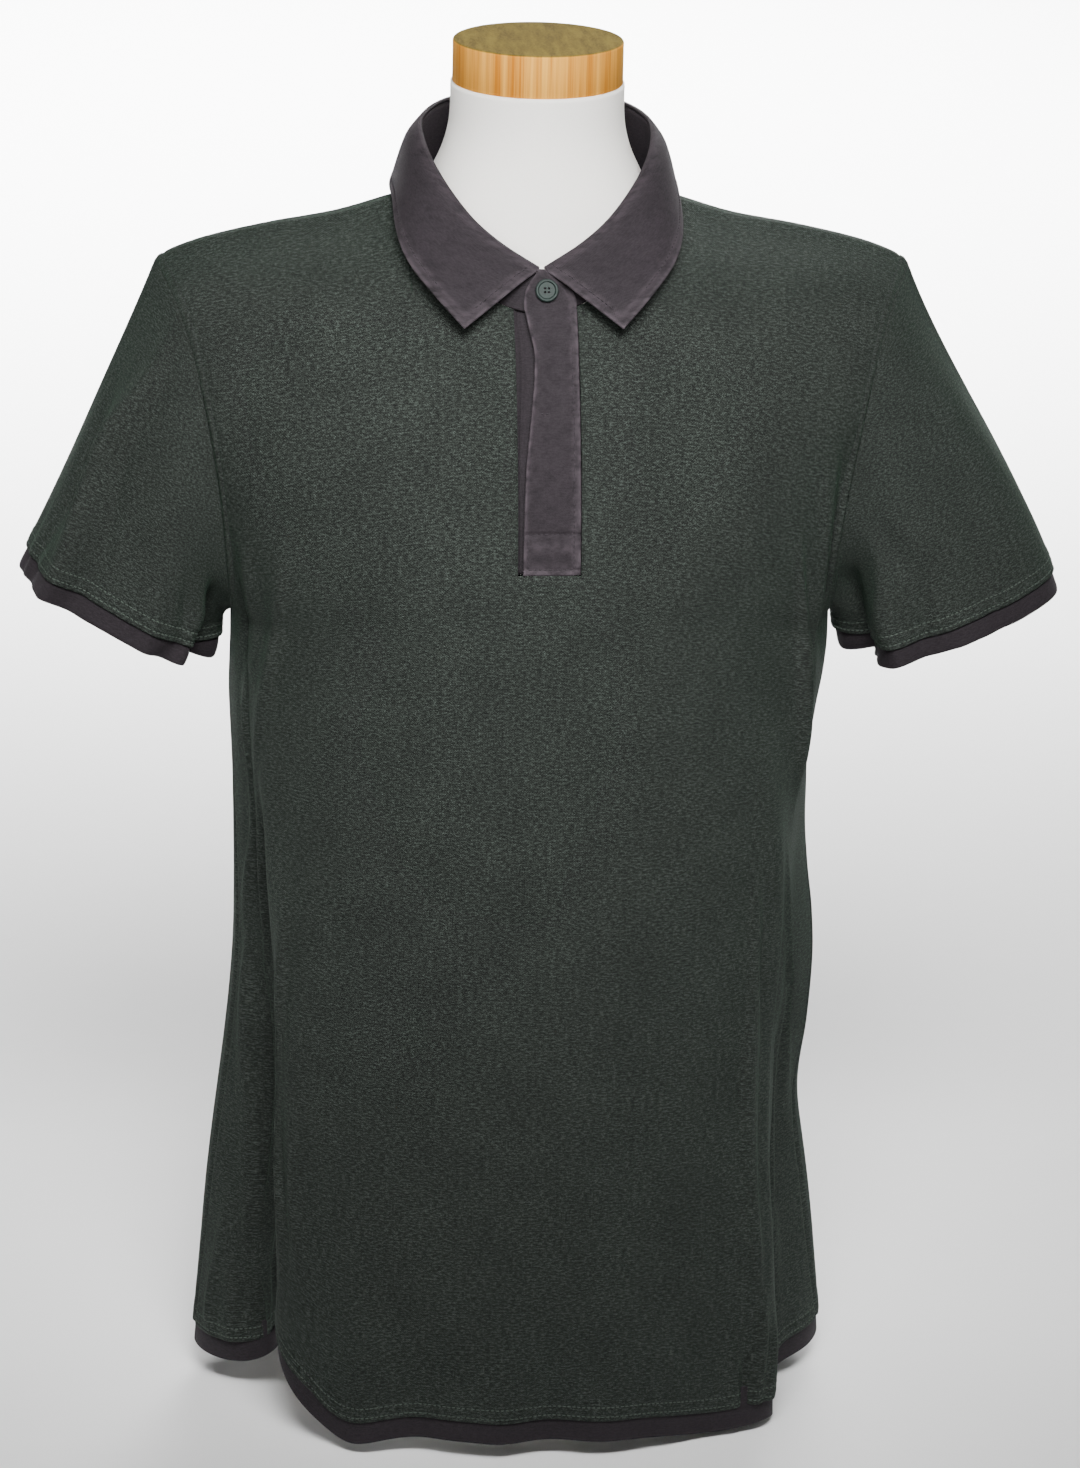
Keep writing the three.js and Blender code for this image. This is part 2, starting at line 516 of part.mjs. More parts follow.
// A wall of cloth from a grid of points and their normals. offset moves its middle out (a number, or
// one for each row and column), keep says which cells are cloth, and wrap joins the last column to
// the first.
function wall({ points, normals, thick, offset = () => 0, keep = () => true, wrap = false }) {
  const rows = points.length;
  const columns = points[0].length;
  const positions = [];
  for (const side of [1, -1]) {
    points.forEach((row, i) =>
      row.forEach((p, j) => {
        const q = p.clone().addScaledVector(normals[i][j], offset(i, j) + (side * thick) / 2);
        positions.push(q.x, q.y, q.z);
      }),
    );
  }
  const count = rows * columns;
  const at = (i, j, side) => side * count + i * columns + (j % columns);
  const cellColumns = wrap ? columns : columns - 1;
  const there = (i, j) => {
    if (i < 0 || i >= rows - 1) return false;
    if (!wrap && (j < 0 || j >= cellColumns)) return false;
    return keep(i, (j + cellColumns) % cellColumns);
  };
  const index = [];
  const quad = (a, b, c, d) => index.push(a, b, c, a, c, d);
  for (let i = 0; i < rows - 1; i++) {
    for (let j = 0; j < cellColumns; j++) {
      if (!there(i, j)) continue;
      quad(at(i, j, 0), at(i, j + 1, 0), at(i + 1, j + 1, 0), at(i + 1, j, 0));
      quad(at(i, j, 1), at(i + 1, j, 1), at(i + 1, j + 1, 1), at(i, j + 1, 1));
      if (!there(i - 1, j)) quad(at(i, j, 0), at(i, j, 1), at(i, j + 1, 1), at(i, j + 1, 0));
      if (!there(i + 1, j)) quad(at(i + 1, j, 0), at(i + 1, j + 1, 0), at(i + 1, j + 1, 1), at(i + 1, j, 1));
      if (!there(i, j - 1)) quad(at(i, j, 0), at(i + 1, j, 0), at(i + 1, j, 1), at(i, j, 1));
      const k = j + 1;
      if (!there(i, k)) quad(at(i, k, 0), at(i, k, 1), at(i + 1, k, 1), at(i + 1, k, 0));
    }
  }
  return facingOut(positions, index);
}

// An indexed geometry whose faces point out, without faces that have shrunk to a line.
function facingOut(positions, index) {
  const corner = (k) => new THREE.Vector3().fromArray(positions, index[k] * 3);
  const kept = [];
  let volume = 0;
  for (let k = 0; k < index.length; k += 3) {
    const [a, b, c] = [corner(k), corner(k + 1), corner(k + 2)];
    if (a.distanceTo(b) < 1e-3 || b.distanceTo(c) < 1e-3 || c.distanceTo(a) < 1e-3) continue;
    kept.push(index[k], index[k + 1], index[k + 2]);
    volume += a.dot(b.cross(c));
  }
  if (volume < 0) {
    for (let k = 0; k < kept.length; k += 3) [kept[k + 1], kept[k + 2]] = [kept[k + 2], kept[k + 1]];
  }
  const geometry = new THREE.BufferGeometry();
  geometry.setAttribute("position", new THREE.Float32BufferAttribute(positions, 3));
  geometry.setIndex(kept);
  return geometry;
}

// Moves the edges of a grid back from their seam lines, along the cloth.
function standBack(points, edges, gap = SEAM) {
  const moved = points.map((row) => row.map((p) => p.clone()));
  const rows = points.length;
  const columns = points[0].length;
  const pull = (i, j, k, l) => {
    const step = points[k][l].clone().sub(points[i][j]);
    if (step.length() > 1e-6) moved[i][j].addScaledVector(step.normalize(), gap);
  };
  for (let i = 0; i < rows; i++) {
    if (edges.includes("left")) pull(i, 0, i, 1);
    if (edges.includes("right")) pull(i, columns - 1, i, columns - 2);
  }
  for (let j = 0; j < columns; j++) {
    if (edges.includes("low")) pull(0, j, 1, j);
    if (edges.includes("high")) pull(rows - 1, j, rows - 2, j);
  }
  return moved;
}

// The armhole's points, down from the underarm up the front to the shoulder tip and down the back.
function armholeLoop(body, side) {
  const j = side < 0 ? 0 : LAST_COLUMN;
  const loop = [];
  const add = (piece, i) => loop.push({ piece, i, j, point: body[piece].points[i][j] });
  for (let i = UNDERARM_ROW; i <= TOP_ROW; i++) add("front", i);
  for (let i = TOP_ROW - 1; i > UNDERARM_ROW; i--) add("back", i);
  const half = TOP_ROW - UNDERARM_ROW;
  const lengths = [0];
  for (let k = 1; k < loop.length; k++) {
    lengths.push(lengths[k - 1] + loop[k].point.distanceTo(loop[k - 1].point));
  }
  const closing = loop[0].point.distanceTo(loop.at(-1).point);
  const frontLength = lengths[half];
  const backLength = lengths.at(-1) + closing - frontLength;
  loop.forEach((entry, k) => {
    const onFront = k <= half;
    entry.share = onFront ? lengths[k] / frontLength : 1 - (lengths[k] - frontLength) / backLength;
    entry.turn = onFront ? 180 * (1 - entry.share) : 180 + 180 * entry.share;
  });
  return loop;
}

const cuffOf = (side) => CUFFS.find((cuff) => cuff.side === side);

function cuffPoint(turn, side) {
  const cuff = cuffOf(side);
  const angle = THREE.MathUtils.degToRad(turn);
  const tilt = THREE.MathUtils.degToRad(cuff.tilt);
  const across = cuff.reach * Math.cos(angle);
  return new THREE.Vector3(
    side * (cuff.x + across * Math.cos(tilt)),
    cuff.y - cuff.depth * Math.sin(angle),
    cuff.z + across * Math.sin(tilt),
  );
}

// The sleeve's path from one armhole point to the cuff, a cubic with set directions at its ends.
const sleeveStart = tableReader(SLEEVE_START, "share");
function sleevePath(entry, side) {
  const tilt = THREE.MathUtils.degToRad(cuffOf(side).tilt);
  const start = sleeveStart(entry.share);
  const end = cuffPoint(entry.turn, side);
  const length = entry.point.distanceTo(end);
  const leave = new THREE.Vector3(side * start.outward, 0, -start.down);
  leave.setLength(Math.min(start.pull, length * 1.1));
  const arrive = new THREE.Vector3(side * Math.sin(tilt), 0, -Math.cos(tilt)).multiplyScalar(length);
  const point = (t) => {
    const t2 = t * t;
    const t3 = t2 * t;
    return entry.point
      .clone()
      .multiplyScalar(2 * t3 - 3 * t2 + 1)
      .addScaledVector(leave, t3 - 2 * t2 + t)
      .addScaledVector(end, 3 * t2 - 2 * t3)
      .addScaledVector(arrive, t3 - t2);
  };
  return { length, point };
}

function sleeveFold(turn, t, side) {
  let push = 0;
  for (const fold of SLEEVE_FOLDS) {
    if (fold.side !== side) continue;
    const centre = THREE.MathUtils.lerp(fold.highTurn, fold.lowTurn, t);
    const away = ((turn - centre + 540) % 360) - 180;
    push += fold.depth * smooth((t - fold.start) / 0.5) * swell(away, fold.width);
  }
  return push;
}

function sleeveInside(side) {
  const high = new THREE.Vector3(side * 195, RIDGE_Y, 640);
  const cuff = cuffOf(side);
  const low = new THREE.Vector3(side * cuff.x, cuff.y, cuff.z);
  const line = new THREE.Line3(high, low.clone().multiplyScalar(2).sub(high));
  return (p) => line.closestPointToPoint(p, true, new THREE.Vector3());
}

// A sleeve's grid has a column for each armhole point. Its rows run from the armhole (0) to the top of
// the woven band, to the knitted hem, and to the band's own lower edge.
function makeSleeve(body, side) {
  const loop = armholeLoop(body, side);
  const paths = loop.map((entry) => sleevePath(entry, side));
  const shares = paths.map(({ length }) => {
    const tuck = 1 - (CUFF_RISE + BAND_TUCK) / length;
    return [...spread(0, tuck, SLEEVE_ROWS), 1 - CUFF_RISE / length, 1];
  });
  const rows = shares[0].map((_, i) => i);
  const rest = rows.map((i) => paths.map((path, k) => path.point(shares[k][i])));
  const inside = sleeveInside(side);
  const restNormals = gridNormals(rest, true, inside);
  const points = rest.map((row, i) =>
    row.map((p, k) => {
      const push = sleeveFold(loop[k].turn, shares[k][i], side);
      return p.clone().addScaledVector(restNormals[i][k], push);
    }),
  );
  return { side, loop, points, normals: gridNormals(points, true, inside) };
}

// The armhole seam: the panels and the sleeve take the mean of their normals there.
function shareArmhole(body, sleeve) {
  sleeve.loop.forEach((entry, k) => {
    const mean = body[entry.piece].normals[entry.i][entry.j].clone().add(sleeve.normals[0][k]).normalize();
    sleeve.normals[0][k] = mean;
    body[entry.piece].normals[entry.i][entry.j] = mean.clone();
    const corner = entry.i === UNDERARM_ROW || entry.i === TOP_ROW;
    if (corner) body.back.normals[entry.i][entry.j] = mean.clone();
  });
}

const body = makeBody(PANEL_V);
const sleeves = [-1, 1].map((side) => makeSleeve(body, side));
sleeves.forEach((sleeve) => shareArmhole(body, sleeve));

const collarAt = tableReader(COLLAR_ROWS, "turn");
const collarLean = (turn) => COLLAR_LEAN * smooth((Math.abs(turn) - 90) / 90);

// A point of the collar's fold or leaf edge at a signed turn from the centre back.
function collarPoint(edge, turn) {
  const row = collarAt(Math.min(Math.abs(turn), 180));
  const side = Math.sign(turn) || 1;
  return new THREE.Vector3(side * row[edge + "X"] + collarLean(turn), row[edge + "Y"], row[edge + "Z"]);
}

const turnOf = (p) => {
  const lean = p.y < RIDGE_Y ? COLLAR_LEAN * smooth((RIDGE_Y - p.y) / NECK_FRONT) : 0;
  return THREE.MathUtils.radToDeg(Math.atan2(p.x - lean, (p.y - RIDGE_Y) * (NECK_HALF_WIDTH / NECK_FRONT)));
};
const collarInside = (p) => new THREE.Vector3(p.x * 0.2, -5, p.z);

// The stand rises from the neckline almost to the fold, open at the centre front.
function makeStand() {
  const neck = PANEL_U.map((u, j) => ({ u, j })).filter(({ u }) => isNeck(u));
  const places = [
    ...neck.map(({ j }) => ({ piece: "front", j })),
    ...neck.slice(1, -1).map(({ j }) => ({ piece: "back", j })),
  ].map(({ piece, j }) => {
    const point = body[piece].points[TOP_ROW][j];
    return { piece, j, point, turn: turnOf(point) };
  });
  places.sort((a, b) => a.turn - b.turn);
  const points = spread(0, 1, 4).map((height) =>
    places.map(({ point, turn }) => {
      const fold = collarPoint("fold", turn);
      fold.z -= WOVEN / 2 + STAND_EASE + 1.1 * smooth((Math.abs(turn) - 90) / 60);
      return point.clone().lerp(fold, height);
    }),
  );
  return { places, points, normals: gridNormals(points, false, collarInside) };
}

const stand = makeStand();
stand.places.forEach(({ piece, j }, k) => {
  const panel = body[piece].normals[TOP_ROW];
  const mean = panel[j].clone().add(stand.normals[0][k]).normalize();
  stand.normals[0][k] = mean;
  panel[j] = mean.clone();
  const high = Math.abs(PANEL_U[j]) >= neckShare - 1e-9;
  if (high) body.back.normals[TOP_ROW][j] = mean.clone();
});

// The leaf starts over the stand's top, rolls outward and hangs to its outer edge.
function makeLeaf() {
  const turns = [...spread(-179.3, -150, 6), ...spread(-140, 140, 27), ...spread(150, 179.3, 6)];
  const falls = [0.22, 0.42, 0.62, 0.81, 1];
  const outward = turns.map((turn) => {
    const reach = collarPoint("leaf", turn).sub(collarPoint("fold", turn));
    const aside = 1 - 0.8 * smooth((Math.abs(turn) - 150) / 30);
    return new THREE.Vector3(reach.x * aside, reach.y, 0).normalize();
  });
  const roll = LEAF_ROLL.map(({ out, up }) =>
    turns.map((turn, k) => {
      const p = collarPoint("fold", turn).addScaledVector(outward[k], out);
      p.z += up;
      return p;
    }),
  );
  const hang = falls.map((fall) =>
    turns.map((turn, k) => {
      const flatter = 1 - 0.4 * (Math.abs(turn) / 180) ** 4;
      const bulge = LEAF_SPRING * Math.sin(Math.PI * Math.sqrt(fall)) * flatter;
      const place = collarPoint("fold", turn).lerp(collarPoint("leaf", turn), fall);
      return place.addScaledVector(outward[k], bulge);
    }),
  );
  const points = [...roll, ...hang];
  const normals = gridNormals(points, false, collarInside);
  normals.slice(0, 2).flat().filter((normal) => normal.z < 0).forEach((normal) => normal.negate());
  return { points, normals };
}

// The neckline's point at a distance to the wearer's left.
function neckPoint(x) {
  const at = (u) => frontSurface.point(u, neckV(frontSurface, u, NECK_FRONT));
  let u = x / FRONT_SCALE;
  for (let i = 0; i < 4; i++) u += (x - at(u).x) / FRONT_SCALE;
  return at(u);
}

const neckHeight = (x) => neckPoint(x).z;

// A place on the front's middle surface by x and z: on the panel, or on the stand over the neckline.
function placketPoint(x, z) {
  const neck = neckPoint(x);
  if (z > neck.z) {
    const fold = collarPoint("fold", turnOf(neck));
    const height = (z - neck.z) / (fold.z - neck.z);
    return new THREE.Vector3(x, THREE.MathUtils.lerp(neck.y, fold.y, height), z);
  }
  let u = x / FRONT_SCALE;
  let v = findV(frontSurface, z, u);
  for (let i = 0; i < 3; i++) {
    u += (x - frontSurface.point(u, v).x) / FRONT_SCALE;
    v = findV(frontSurface, z, u);
  }
  return frontSurface.point(u, v);
}

const frontInside = (p) => new THREE.Vector3(p.x, 0, p.z - 20);
const placketAt = tableReader(PLACKET_ROWS, "z");
const overOffset = (z) => (WOVEN + LAYER) * smooth((z - 694) / 22);

function makeOverBand() {
  const high = PLACKET_ROWS.at(-1).z;
  const heights = [...spread(PLACKET_ROWS[0].z, 700, 9), ...spread(706, high, 9)];
  const points = heights.map((z) => {
    const { free, sewn } = placketAt(z);
    return spread(free, Math.min(sewn, slitEdge(1, z) - SEAM - 0.3), 6).map((x) => placketPoint(x, z));
  });
  return { heights, points, normals: gridNormals(points, false, frontInside) };
}

function makeUnderBand() {
  const low = PLACKET_ROWS[0].z;
  const points = spread(0, 1, 13).map((rise) => {
    const middle = THREE.MathUtils.lerp(low, neckHeight(0), rise);
    const { free } = placketAt(middle);
    const seam = slitEdge(-1, middle) + SEAM * 2;
    const lap = Math.max(free - 3.2, seam + 1.2);
    return [seam, lap, lap + 4, lap + 11, 15.6].map((x) =>
      placketPoint(x, THREE.MathUtils.lerp(low, neckHeight(x) - LAYER, rise)),
    );
  });
  return { points, normals: gridNormals(points, false, frontInside) };
}

// The x of the slit's edge at a height.
function slitEdge(side, z) {
  const u = (side < 0 ? SLIT_LEFT : SLIT_RIGHT) / FRONT_SCALE;
  return frontSurface.point(u, findV(frontSurface, z, u)).x;
}

const group = new THREE.Group();
function addPiece(name, geometry, colour, roughness = 0.9) {
  const material = new THREE.MeshStandardMaterial({ color: COLOURS[colour], roughness, metalness: 0 });
  const mesh = new THREE.Mesh(geometry, material);
  mesh.name = name;
  mesh.position.z = -FLOOR;
  group.add(mesh);
}

// The front's slit is the cells over the placket's foot between its two columns.
const slitFrom = PANEL_U.indexOf(SLIT_LEFT / FRONT_SCALE);
const slitTo = PANEL_U.indexOf(SLIT_RIGHT / FRONT_SCALE);
const isSlit = (i, j) => i >= FOOT_ROW && j >= slitFrom && j < slitTo;

for (const piece of ["front", "back"]) {
  const { points, normals } = body[piece];
  const keep = piece === "front" ? (i, j) => !isSlit(i, j) : () => true;
  const panel = { points: standBack(points, ["left", "right", "high"]), normals, thick: PIQUE, keep };
  addPiece(`${piece}_panel`, wall(panel), "pique");
}
const bandBody = makeBody([0, HEM_V, BAND_V]);
const behind = () => -(PIQUE / 2 + LAYER + WOVEN / 2);
for (const piece of ["front", "back"]) {
  const { points, normals } = bandBody[piece];
  const band = { points: standBack(points, ["left", "right"]), normals, thick: WOVEN, offset: behind };
  addPiece(`hem_band_${piece}`, wall(band), "woven");
}
for (const { side, points, normals } of sleeves) {
  const name = side < 0 ? "right" : "left";
  const cloth = { points: standBack(points, ["low"]).slice(0, -1), normals: normals.slice(0, -1) };
  addPiece(`sleeve_${name}`, wall({ ...cloth, thick: PIQUE, wrap: true }), "pique");
  const band = { points: points.slice(-3), normals: normals.slice(-3), offset: behind };
  addPiece(`cuff_band_${name}`, wall({ ...band, thick: WOVEN, wrap: true }), "woven");
}
addPiece(
  "collar_stand",
  wall({ points: standBack(stand.points, ["low"]), normals: stand.normals, thick: WOVEN }),
  "woven",
);
addPiece("collar_leaf", wall({ ...makeLeaf(), thick: WOVEN }), "woven");
const over = makeOverBand();
addPiece(
  "placket_over",
  wall({ ...over, thick: WOVEN, offset: (i) => overOffset(over.heights[i]) }),
  "woven",
);
const under = makeUnderBand();
addPiece(
  "placket_under",
  wall({ ...under, thick: WOVEN, offset: (i, j) => (j === 0 ? 0 : -(WOVEN + LAYER)) }),
  "woven",
);

// Four holes through a disc with a raised rim, turned to lie on the over-band's face.
function makeButton() {
  const { radius, thick, rim, holeRadius, holeReach } = BUTTON;
  const dish = thick - 0.8;
  const disc = solid(
    stack(
      [
        { z: 0, halfX: radius - 0.6, halfY: radius - 0.6, y: 0 },
        { z: 0.7, halfX: radius, halfY: radius, y: 0 },
        { z: thick - 0.5, halfX: radius, halfY: radius, y: 0 },
        { z: thick, halfX: radius - 0.5, halfY: radius - 0.5, y: 0 },
        { z: thick, halfX: radius - rim, halfY: radius - rim, y: 0 },
        { z: dish, halfX: radius - rim - 0.6, halfY: radius - rim - 0.6, y: 0 },
      ],
      28,
    ),
  );
  const hole = wasm.Manifold.cylinder(thick + 2, holeRadius, holeRadius, 10);
  const holes = [45, 135, 225, 315].map((degrees) => {
    const angle = THREE.MathUtils.degToRad(degrees);
    return hole.translate([holeReach * Math.cos(angle), holeReach * Math.sin(angle), -1]);
  });
  const drilled = disc.subtract(wasm.Manifold.union(holes));
  const centre = placketPoint(BUTTON.x, BUTTON.z);
  const above = placketPoint(BUTTON.x, BUTTON.z + 3).sub(placketPoint(BUTTON.x, BUTTON.z - 3));
  const normal = new THREE.Vector3(0, -above.z, above.y).normalize();
  const face = overOffset(BUTTON.z) + WOVEN / 2 + LAYER;
  const place = new THREE.Matrix4().makeRotationFromQuaternion(
    new THREE.Quaternion().setFromUnitVectors(new THREE.Vector3(0, 0, 1), normal),
  );
  place.setPosition(centre.addScaledVector(normal, face));
  return meshed(drilled).applyMatrix4(place);
}

// A solid of level ellipses one over another, with flat ends.
function stack(rows, segments) {
  const positions = [];
  const index = [];
  rows.forEach(({ z, halfX, halfY, y }) => {
    for (let k = 0; k < segments; k++) {
      const angle = (2 * Math.PI * k) / segments;
      positions.push(halfX * Math.cos(angle), y + halfY * Math.sin(angle), z);
    }
  });
  for (let i = 0; i < rows.length - 1; i++) {
    for (let k = 0; k < segments; k++) {
      const a = i * segments + k;
      const b = i * segments + ((k + 1) % segments);
      index.push(a, b, b + segments, a, b + segments, a + segments);
    }
  }
  addEnd(positions, index, 0, segments, rows[0].z);
  addEnd(positions, index, (rows.length - 1) * segments, segments, rows.at(-1).z);
  return facingOut(positions, index);
}

// Closes a ring of points with a fan round its middle. A ring that starts the list faces down.
function addEnd(positions, index, first, count, z) {
  const middle = positions.length / 3;
  let x = 0;
  let y = 0;
  for (let k = first; k < first + count; k++) {
    x += positions[k * 3] / count;
    y += positions[k * 3 + 1] / count;
  }
  positions.push(x, y, z);
  for (let k = 0; k < count; k++) {
    const a = first + k;
    const b = first + ((k + 1) % count);
    if (first === 0) index.push(middle, b, a);
    else index.push(middle, a, b);
  }
}

function solid(geometry) {
  const bare = new THREE.BufferGeometry();
  bare.setAttribute("position", geometry.getAttribute("position"));
  bare.setIndex(geometry.index);
  const merged = mergeVertices(bare, 1e-3);
  return new wasm.Manifold(
    new wasm.Mesh({
      numProp: 3,
      vertProperties: merged.attributes.position.array,
      triVerts: new Uint32Array(merged.index.array),
    }),
  );
}

function meshed(made) {
  const { vertProperties, triVerts } = made.getMesh();
  const geometry = new THREE.BufferGeometry();
  geometry.setAttribute("position", new THREE.BufferAttribute(vertProperties, 3));
  geometry.setIndex(new THREE.BufferAttribute(triVerts, 1));
  return geometry;
}

// The form's trunk is rings inside the shirt's rest surface: across the front, round the arm end,
// across the back. The last ring is folded flat on the shoulder line, which closes it.
const formEase = tableReader(FORM_ROWS, "v");
const FORM_V = [FORM_LOW_V, 0.14, 0.26, 0.38, 0.5, 0.6, ...PANEL_V.slice(UNDERARM_ROW)];
function makeForm() {
  const outer = SHARES.slice(5).filter((_, k) => k % 2 === 0);
  const half = [0.04, 0.16, 0.26, ...outer].map((u) => u * FORM_SIDE_SHARE);
  const across = [...half.map((u) => -u).reverse(), ...half];
  const count = across.length;
  const rings = FORM_V.map((v) => {
    const front = across.map((u) => frontSurface.point(u, v));
    const back = across.map((u) => backSurface.point(u, v)).reverse();
    const armEnd = (a, b) => {
      const middle = a.clone().add(b).multiplyScalar(0.5);
      middle.x += Math.sign(middle.x) * Math.min(4, 0.15 * a.distanceTo(b));
      return middle;
    };
    return [...front, armEnd(front.at(-1), back[0]), ...back, armEnd(back.at(-1), front[0])];
  });
  const normals = gridNormals(rings, true, bodyInside);
  const top = normals.at(-1);
  across.forEach((_, j) => {
    const k = 2 * count - j;
    const mean = top[j].clone().add(top[k]).normalize();
    top[j] = mean;
    top[k] = mean.clone();
  });
  top[count] = top[count - 1].clone();
  top[2 * count + 1] = top[0].clone();
  const lowZ = rings[0][0].z;
  const positions = [];
  rings.forEach((ring, i) =>
    ring.forEach((p, k) => {
      const behindPlacket = p.y < 0 ? FORM_PLACKET_EASE * swell(p.x, 34) : 0;
      const q = p.clone().addScaledVector(normals[i][k], -formEase(FORM_V[i]).ease - behindPlacket);
      positions.push(q.x, q.y, i === 0 ? lowZ : q.z);
    }),
  );
  const ringSize = rings[0].length;
  const index = [];
  for (let i = 0; i < rings.length - 1; i++) {
    for (let k = 0; k < ringSize; k++) {
      const a = i * ringSize + k;
      const b = i * ringSize + ((k + 1) % ringSize);
      index.push(a, b, b + ringSize, a, b + ringSize, a + ringSize);
    }
  }
  addEnd(positions, index, 0, ringSize, lowZ);
  const trunk = solid(facingOut(positions, index));
  return { lowZ, geometry: meshed(trunk.add(solid(stack(NECK_ROWS, 36)))) };
}

const form = makeForm();
addPiece("button_top", makeButton(), "button", 0.5);
addPiece("form_torso", form.geometry, "form", 0.85);
const { radius, low, high, edge } = CAP;
addPiece(
  "form_cap",
  stack(
    [
      { z: low, halfX: radius, halfY: radius, y: 0 },
      { z: high - edge, halfX: radius, halfY: radius, y: 0 },
      { z: high, halfX: radius - edge, halfY: radius - edge, y: 0 },
    ],
    48,
  ),
  "wood",
  0.6,
);
const footTop = form.lowZ - FOOT.gap;
addPiece(
  "form_foot",
  stack(
    [
      { z: FLOOR, halfX: FOOT.halfX, halfY: FOOT.halfY, y: 0 },
      { z: footTop - FOOT.edge, halfX: FOOT.halfX, halfY: FOOT.halfY, y: 0 },
      { z: footTop, halfX: FOOT.halfX - FOOT.edge, halfY: FOOT.halfY - FOOT.edge, y: 0 },
    ],
    48,
  ),
  "wood",
  0.6,
);

export default group;
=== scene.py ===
import math

import bpy
import numpy as np
from mathutils import Matrix, Vector


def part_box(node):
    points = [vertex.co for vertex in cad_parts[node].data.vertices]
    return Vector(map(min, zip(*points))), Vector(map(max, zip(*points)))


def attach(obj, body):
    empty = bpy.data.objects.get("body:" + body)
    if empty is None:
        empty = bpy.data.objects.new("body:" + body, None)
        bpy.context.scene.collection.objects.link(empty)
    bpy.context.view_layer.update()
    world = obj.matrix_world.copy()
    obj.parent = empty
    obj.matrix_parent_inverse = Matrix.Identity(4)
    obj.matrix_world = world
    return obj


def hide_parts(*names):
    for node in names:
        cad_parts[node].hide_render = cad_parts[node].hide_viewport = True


# A short-sleeved polo shirt on a limbless dress form. The shirt faces -Y and its wearer's left is
# +X. Lengths are millimetres until a mesh is made. Heights in the tables count from a level FLOOR
# under the floor, as the solids' own do.

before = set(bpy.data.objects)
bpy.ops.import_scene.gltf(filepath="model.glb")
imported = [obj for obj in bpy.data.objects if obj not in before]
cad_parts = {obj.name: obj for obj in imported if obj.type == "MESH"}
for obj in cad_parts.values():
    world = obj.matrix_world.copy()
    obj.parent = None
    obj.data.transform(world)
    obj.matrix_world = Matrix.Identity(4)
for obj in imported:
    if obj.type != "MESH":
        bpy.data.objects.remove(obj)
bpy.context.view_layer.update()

MM = 0.001
FLOOR = 25

# The camera comes first: it stands in front of the shirt, a little above it and to its right.
CAMERA_PLACE = (-0.2430, -3.0744, 1.4799)
CAMERA_AIM = (0.0775, 0.9426, -0.3247)
CAMERA_ROLL = 1.3
CAMERA_LENS = 136.0


def set_camera():
    """Right is level, up is square to it and to the aim, and both are turned by the roll."""
    forward = Vector(CAMERA_AIM).normalized()
    right = forward.cross(Vector((0, 0, 1))).normalized()
    up = right.cross(forward)
    roll = math.radians(CAMERA_ROLL)
    across = right * math.cos(roll) + up * math.sin(roll)
    upright = up * math.cos(roll) - right * math.sin(roll)
    lens = bpy.data.cameras.new("camera")
    lens.lens = CAMERA_LENS
    lens.sensor_width = 36
    camera = bpy.data.objects.new("camera", lens)
    turn = Matrix((across, upright, -forward)).transposed().to_4x4()
    camera.matrix_world = Matrix.Translation(Vector(CAMERA_PLACE)) @ turn
    bpy.context.scene.collection.objects.link(camera)
    bpy.context.scene.camera = camera


set_camera()

# Cloths, seams and overlaps
PIQUE = 1.4
WOVEN = 1.3
SEAM = 0.22
LAYER = 0.4
HEM_RISE = 14.5
CUFF_RISE = 12.5
BAND_TUCK = 12
NECK_HALF_WIDTH = 74
NECK_FRONT = 91
NECK_BACK = 53
RIDGE_Y = 5
UNDERARM_V = 0.674
FRONT_SCALE = 205
SLIT_LEFT = -18.7 / FRONT_SCALE
SLIT_RIGHT = 17 / FRONT_SCALE

# Sections of the two panels, from the hem (v 0) to the shoulder seam (v 1).
PANEL_COLUMNS = "v edgeX edgeY edgeZ midY midZ turn flat round lean"
FRONT_ROWS = [
    (0.0, 185, 24, 44, -109, 38, 90, 0.62, 0.6, 0),
    (0.15, 178, 16, 150, -113, 150, 90, 0.62, 0.58, 0.8),
    (0.355, 172, 10, 299, -117, 300, 90, 0.6, 0.56, 1.6),
    (0.52, 171.5, 8, 419, -119, 425, 90, 0.58, 0.56, 3),
    (0.615, 173, 6, 484, -120, 500, 90, 0.58, 0.56, 4),
    (0.674, 173, 5, 523, -121, 546, 88, 0.58, 0.56, 4.7),
    (0.705, 173.5, -21, 535, -121, 572, 76, 0.58, 0.5, 5),
    (0.745, 176, -42, 565, -119, 605, 60, 0.56, 0.42, 4.8),
    (0.795, 180, -53, 607, -114, 645, 46, 0.54, 0.36, 4),
    (0.845, 187, -54, 651, -105, 683, 36, 0.5, 0.34, 3),
    (0.895, 195, -45, 688, -89, 719, 26, 0.44, 0.33, 1.8),
    (0.945, 205, -25, 716, -58, 752, 14, 0.38, 0.33, 0.4),
    (1.0, 216.5, 5, 732, 5, 788, 0, 0.34, 0.33, 0),
]
